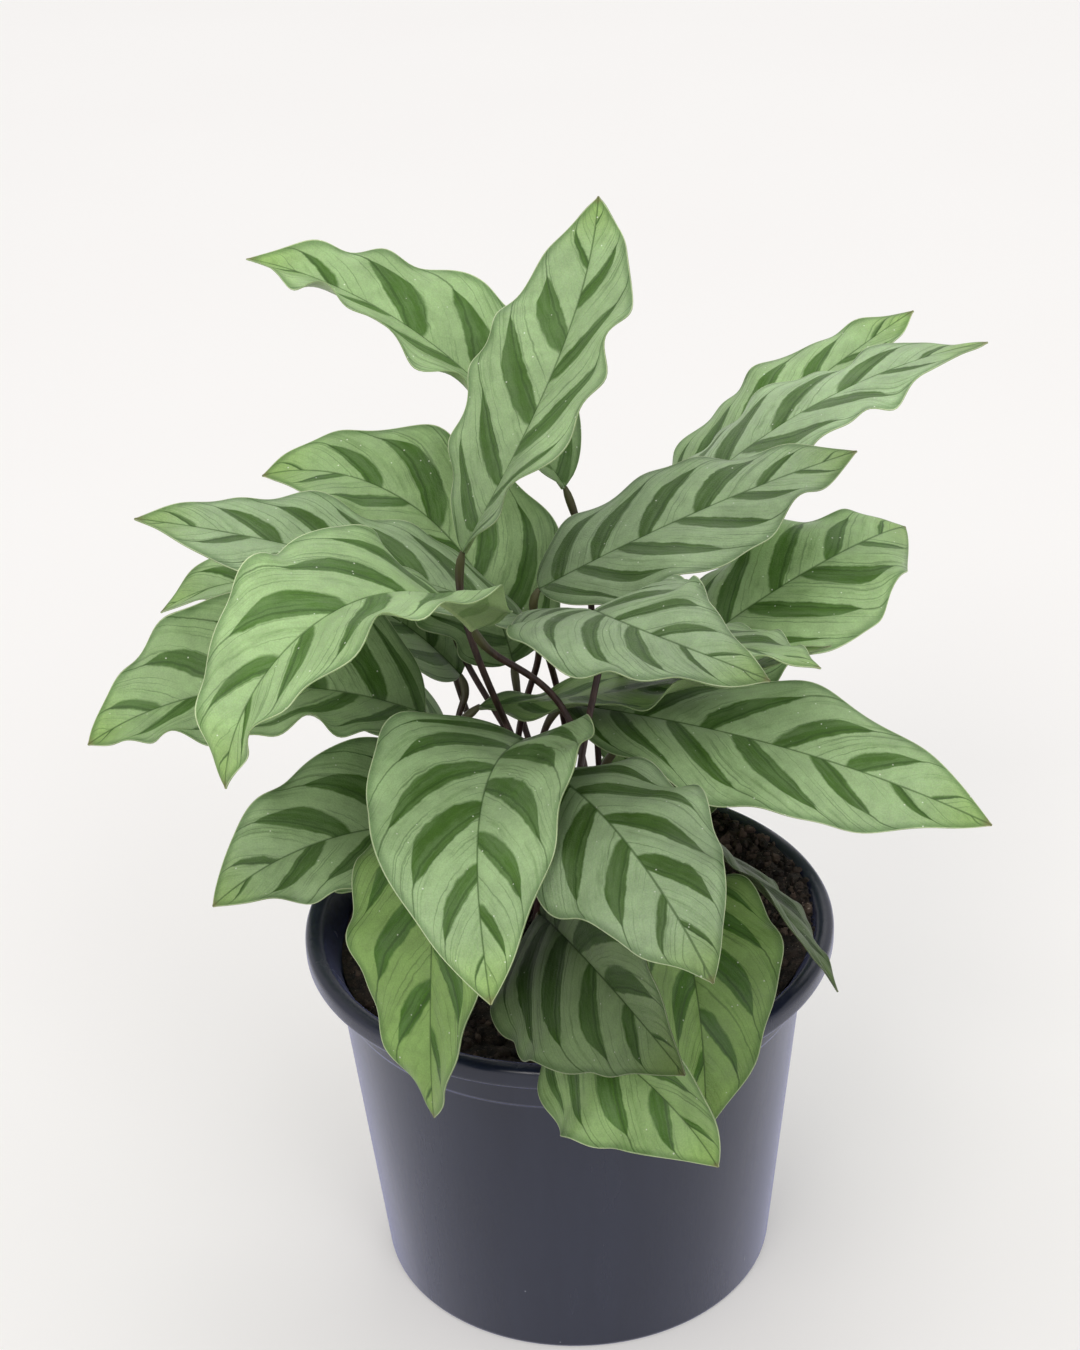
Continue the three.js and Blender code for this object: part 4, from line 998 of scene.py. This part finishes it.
def soilMaterial(name, crumb=False):
    # Moist peat with bits of bark, fibre and grit: dark, dull and crumbly, with lighter specks
    material, add, place = newMaterial(name)
    look = soilLook
    lumps = add("TexNoise", {"Vector": place, "Scale": look["lumps"], "Detail": 6.0, "Roughness": 0.7})
    fibre = add("TexNoise", {"Vector": place, "Scale": look["fibre"], "Detail": 2.0})
    lightShare = add("MapRange", (lumps, 0.42, 0.7))
    colour = add("Mix", (lightShare, look["peat"], look["peatLight"]), data_type="RGBA")
    if crumb:
        bark = add("Attribute", attribute_name="bark").outputs["Fac"]
        barkShare = add("MapRange", (bark, 0.3, 1.0, 0.0, 0.85))
        colour = add("Mix", (barkShare, colour, look["bark"]), data_type="RGBA")
    gritShare = add("MapRange", (fibre, 0.68, 0.76, 0.0, 0.7))
    gritty = add("Mix", (gritShare, colour, look["grit"]), data_type="RGBA")
    relief = add("Math", (fibre, 0.4, lumps), operation="MULTIPLY_ADD")
    bump = add("Bump", {"Height": relief, "Strength": 0.9, "Distance": 0.001})
    earth = add("BsdfPrincipled", {"Base Color": gritty, "Roughness": look["roughness"], "Normal": bump})
    add("OutputMaterial", {"Surface": earth})
    return material


soil = makeSoil(soilMaterial("moistPeat"))
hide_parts("soil")
crumbs = makeCrumbs(soilMaterial("peatCrumb", crumb=True))
for piece in (soil, crumbs):
    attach(piece, "root")
print("soil faces:", len(soil.data.polygons), "crumbs:", crumbShape["count"])

studio = dict(      # metres and watts
    table="#e2e1e0", tableTint="#dfdddc", tableSize=12.0, tableGlow=0.24,
    tableRoughness=0.7,
    tableClouds=3.0,    # per metre: uneven patches about 0.3 m across
    sky="#f8f7f6", skyStrength=0.8,
    aim=(0, 0, 0.15), lampSize=1.6,
    lamps=[             # name, place, watts, colour
        ("key", (-1.3, -2.9, 3.0), 38.0, "#fffaf5"),
        ("fill", (1.3, -2.9, 3.0), 23.0, "#ffffff"),
        ("back", (0.3, 2.4, 3.2), 17.0, "#ffffff"),
    ],
)
view = dict(        # millimetres and degrees
    distance=680.0, elevation=27.85, roll=-2.15, aim=(-5.65, 0.0, 186.8),
    focalPixels=2517.0, imageHeight=1350.0, sensor=36.0, clip=(0.05, 20),
)


def tableMaterial():
    # Opal acrylic sheet of a product table, lit a little from below: an even, nearly shadowless
    # white with a soft matt surface and a barely uneven tone
    material, add, place = newMaterial("opalAcrylicTable")
    cloud = add("TexNoise", {"Vector": place, "Scale": studio["tableClouds"]})
    tone = add("Mix", (cloud, studio["table"], studio["tableTint"]), data_type="RGBA")
    opal = add("BsdfPrincipled", {
        "Base Color": tone, "Roughness": studio["tableRoughness"], "IOR": 1.49,
        "Emission Color": studio["table"], "Emission Strength": studio["tableGlow"]})
    add("OutputMaterial", {"Surface": opal})
    return material


def putAt(holder, right, up, back, at):
    # turns a lamp or camera, which looks along its own -Z, and puts it at a point in metres
    turned = np.stack([right, up, back, at], axis=1)
    holder.matrix_world = Matrix([*turned.tolist(), [0, 0, 0, 1]])
    bpy.context.scene.collection.objects.link(holder)


half = studio["tableSize"] / 2 / mm
floor = makePiece("floor", [[-half, -half, 0], [half, -half, 0], [half, half, 0], [-half, half, 0]],
                  [(0, 1, 2, 3)], [tableMaterial()])

sky = bpy.data.worlds.new("softSky")
sky.use_nodes = True
sky.node_tree.nodes["Background"].inputs[0].default_value = linearColour(studio["sky"])
sky.node_tree.nodes["Background"].inputs[1].default_value = studio["skyStrength"]
bpy.context.scene.world = sky

for name, at, watts, colour in studio["lamps"]:
    lamp = bpy.data.lights.new(name, "AREA")
    lamp.shape, lamp.size, lamp.energy = "DISK", studio["lampSize"], watts
    lamp.color = linearColour(colour)[:3]
    back = np.array(at, float) - np.array(studio["aim"], float)
    back /= np.linalg.norm(back)
    right = np.cross([0, 0, 1.0], back)
    right /= np.linalg.norm(right)
    putAt(bpy.data.objects.new(name, lamp), right, np.cross(back, right), back, at)

lens = bpy.data.cameras.new("camera")
lens.sensor_width = view["sensor"]
lens.lens = view["focalPixels"] * view["sensor"] / view["imageHeight"]
lens.clip_start, lens.clip_end = view["clip"]
camera = bpy.data.objects.new("camera", lens)
elevation, roll = math.radians(view["elevation"]), math.radians(view["roll"])
back = np.array([0, -math.cos(elevation), math.sin(elevation)])
level = np.array([1.0, 0, 0])
upward = np.cross(back, level)
putAt(camera, math.cos(roll) * level + math.sin(roll) * upward,
      math.cos(roll) * upward - math.sin(roll) * level, back,
      (np.array(view["aim"]) + back * view["distance"]) * mm)
bpy.context.scene.camera = camera
bpy.context.scene.view_settings.view_transform = "Standard"
print("lamps:", len(studio["lamps"]), "camera at", list(camera.matrix_world.translation))
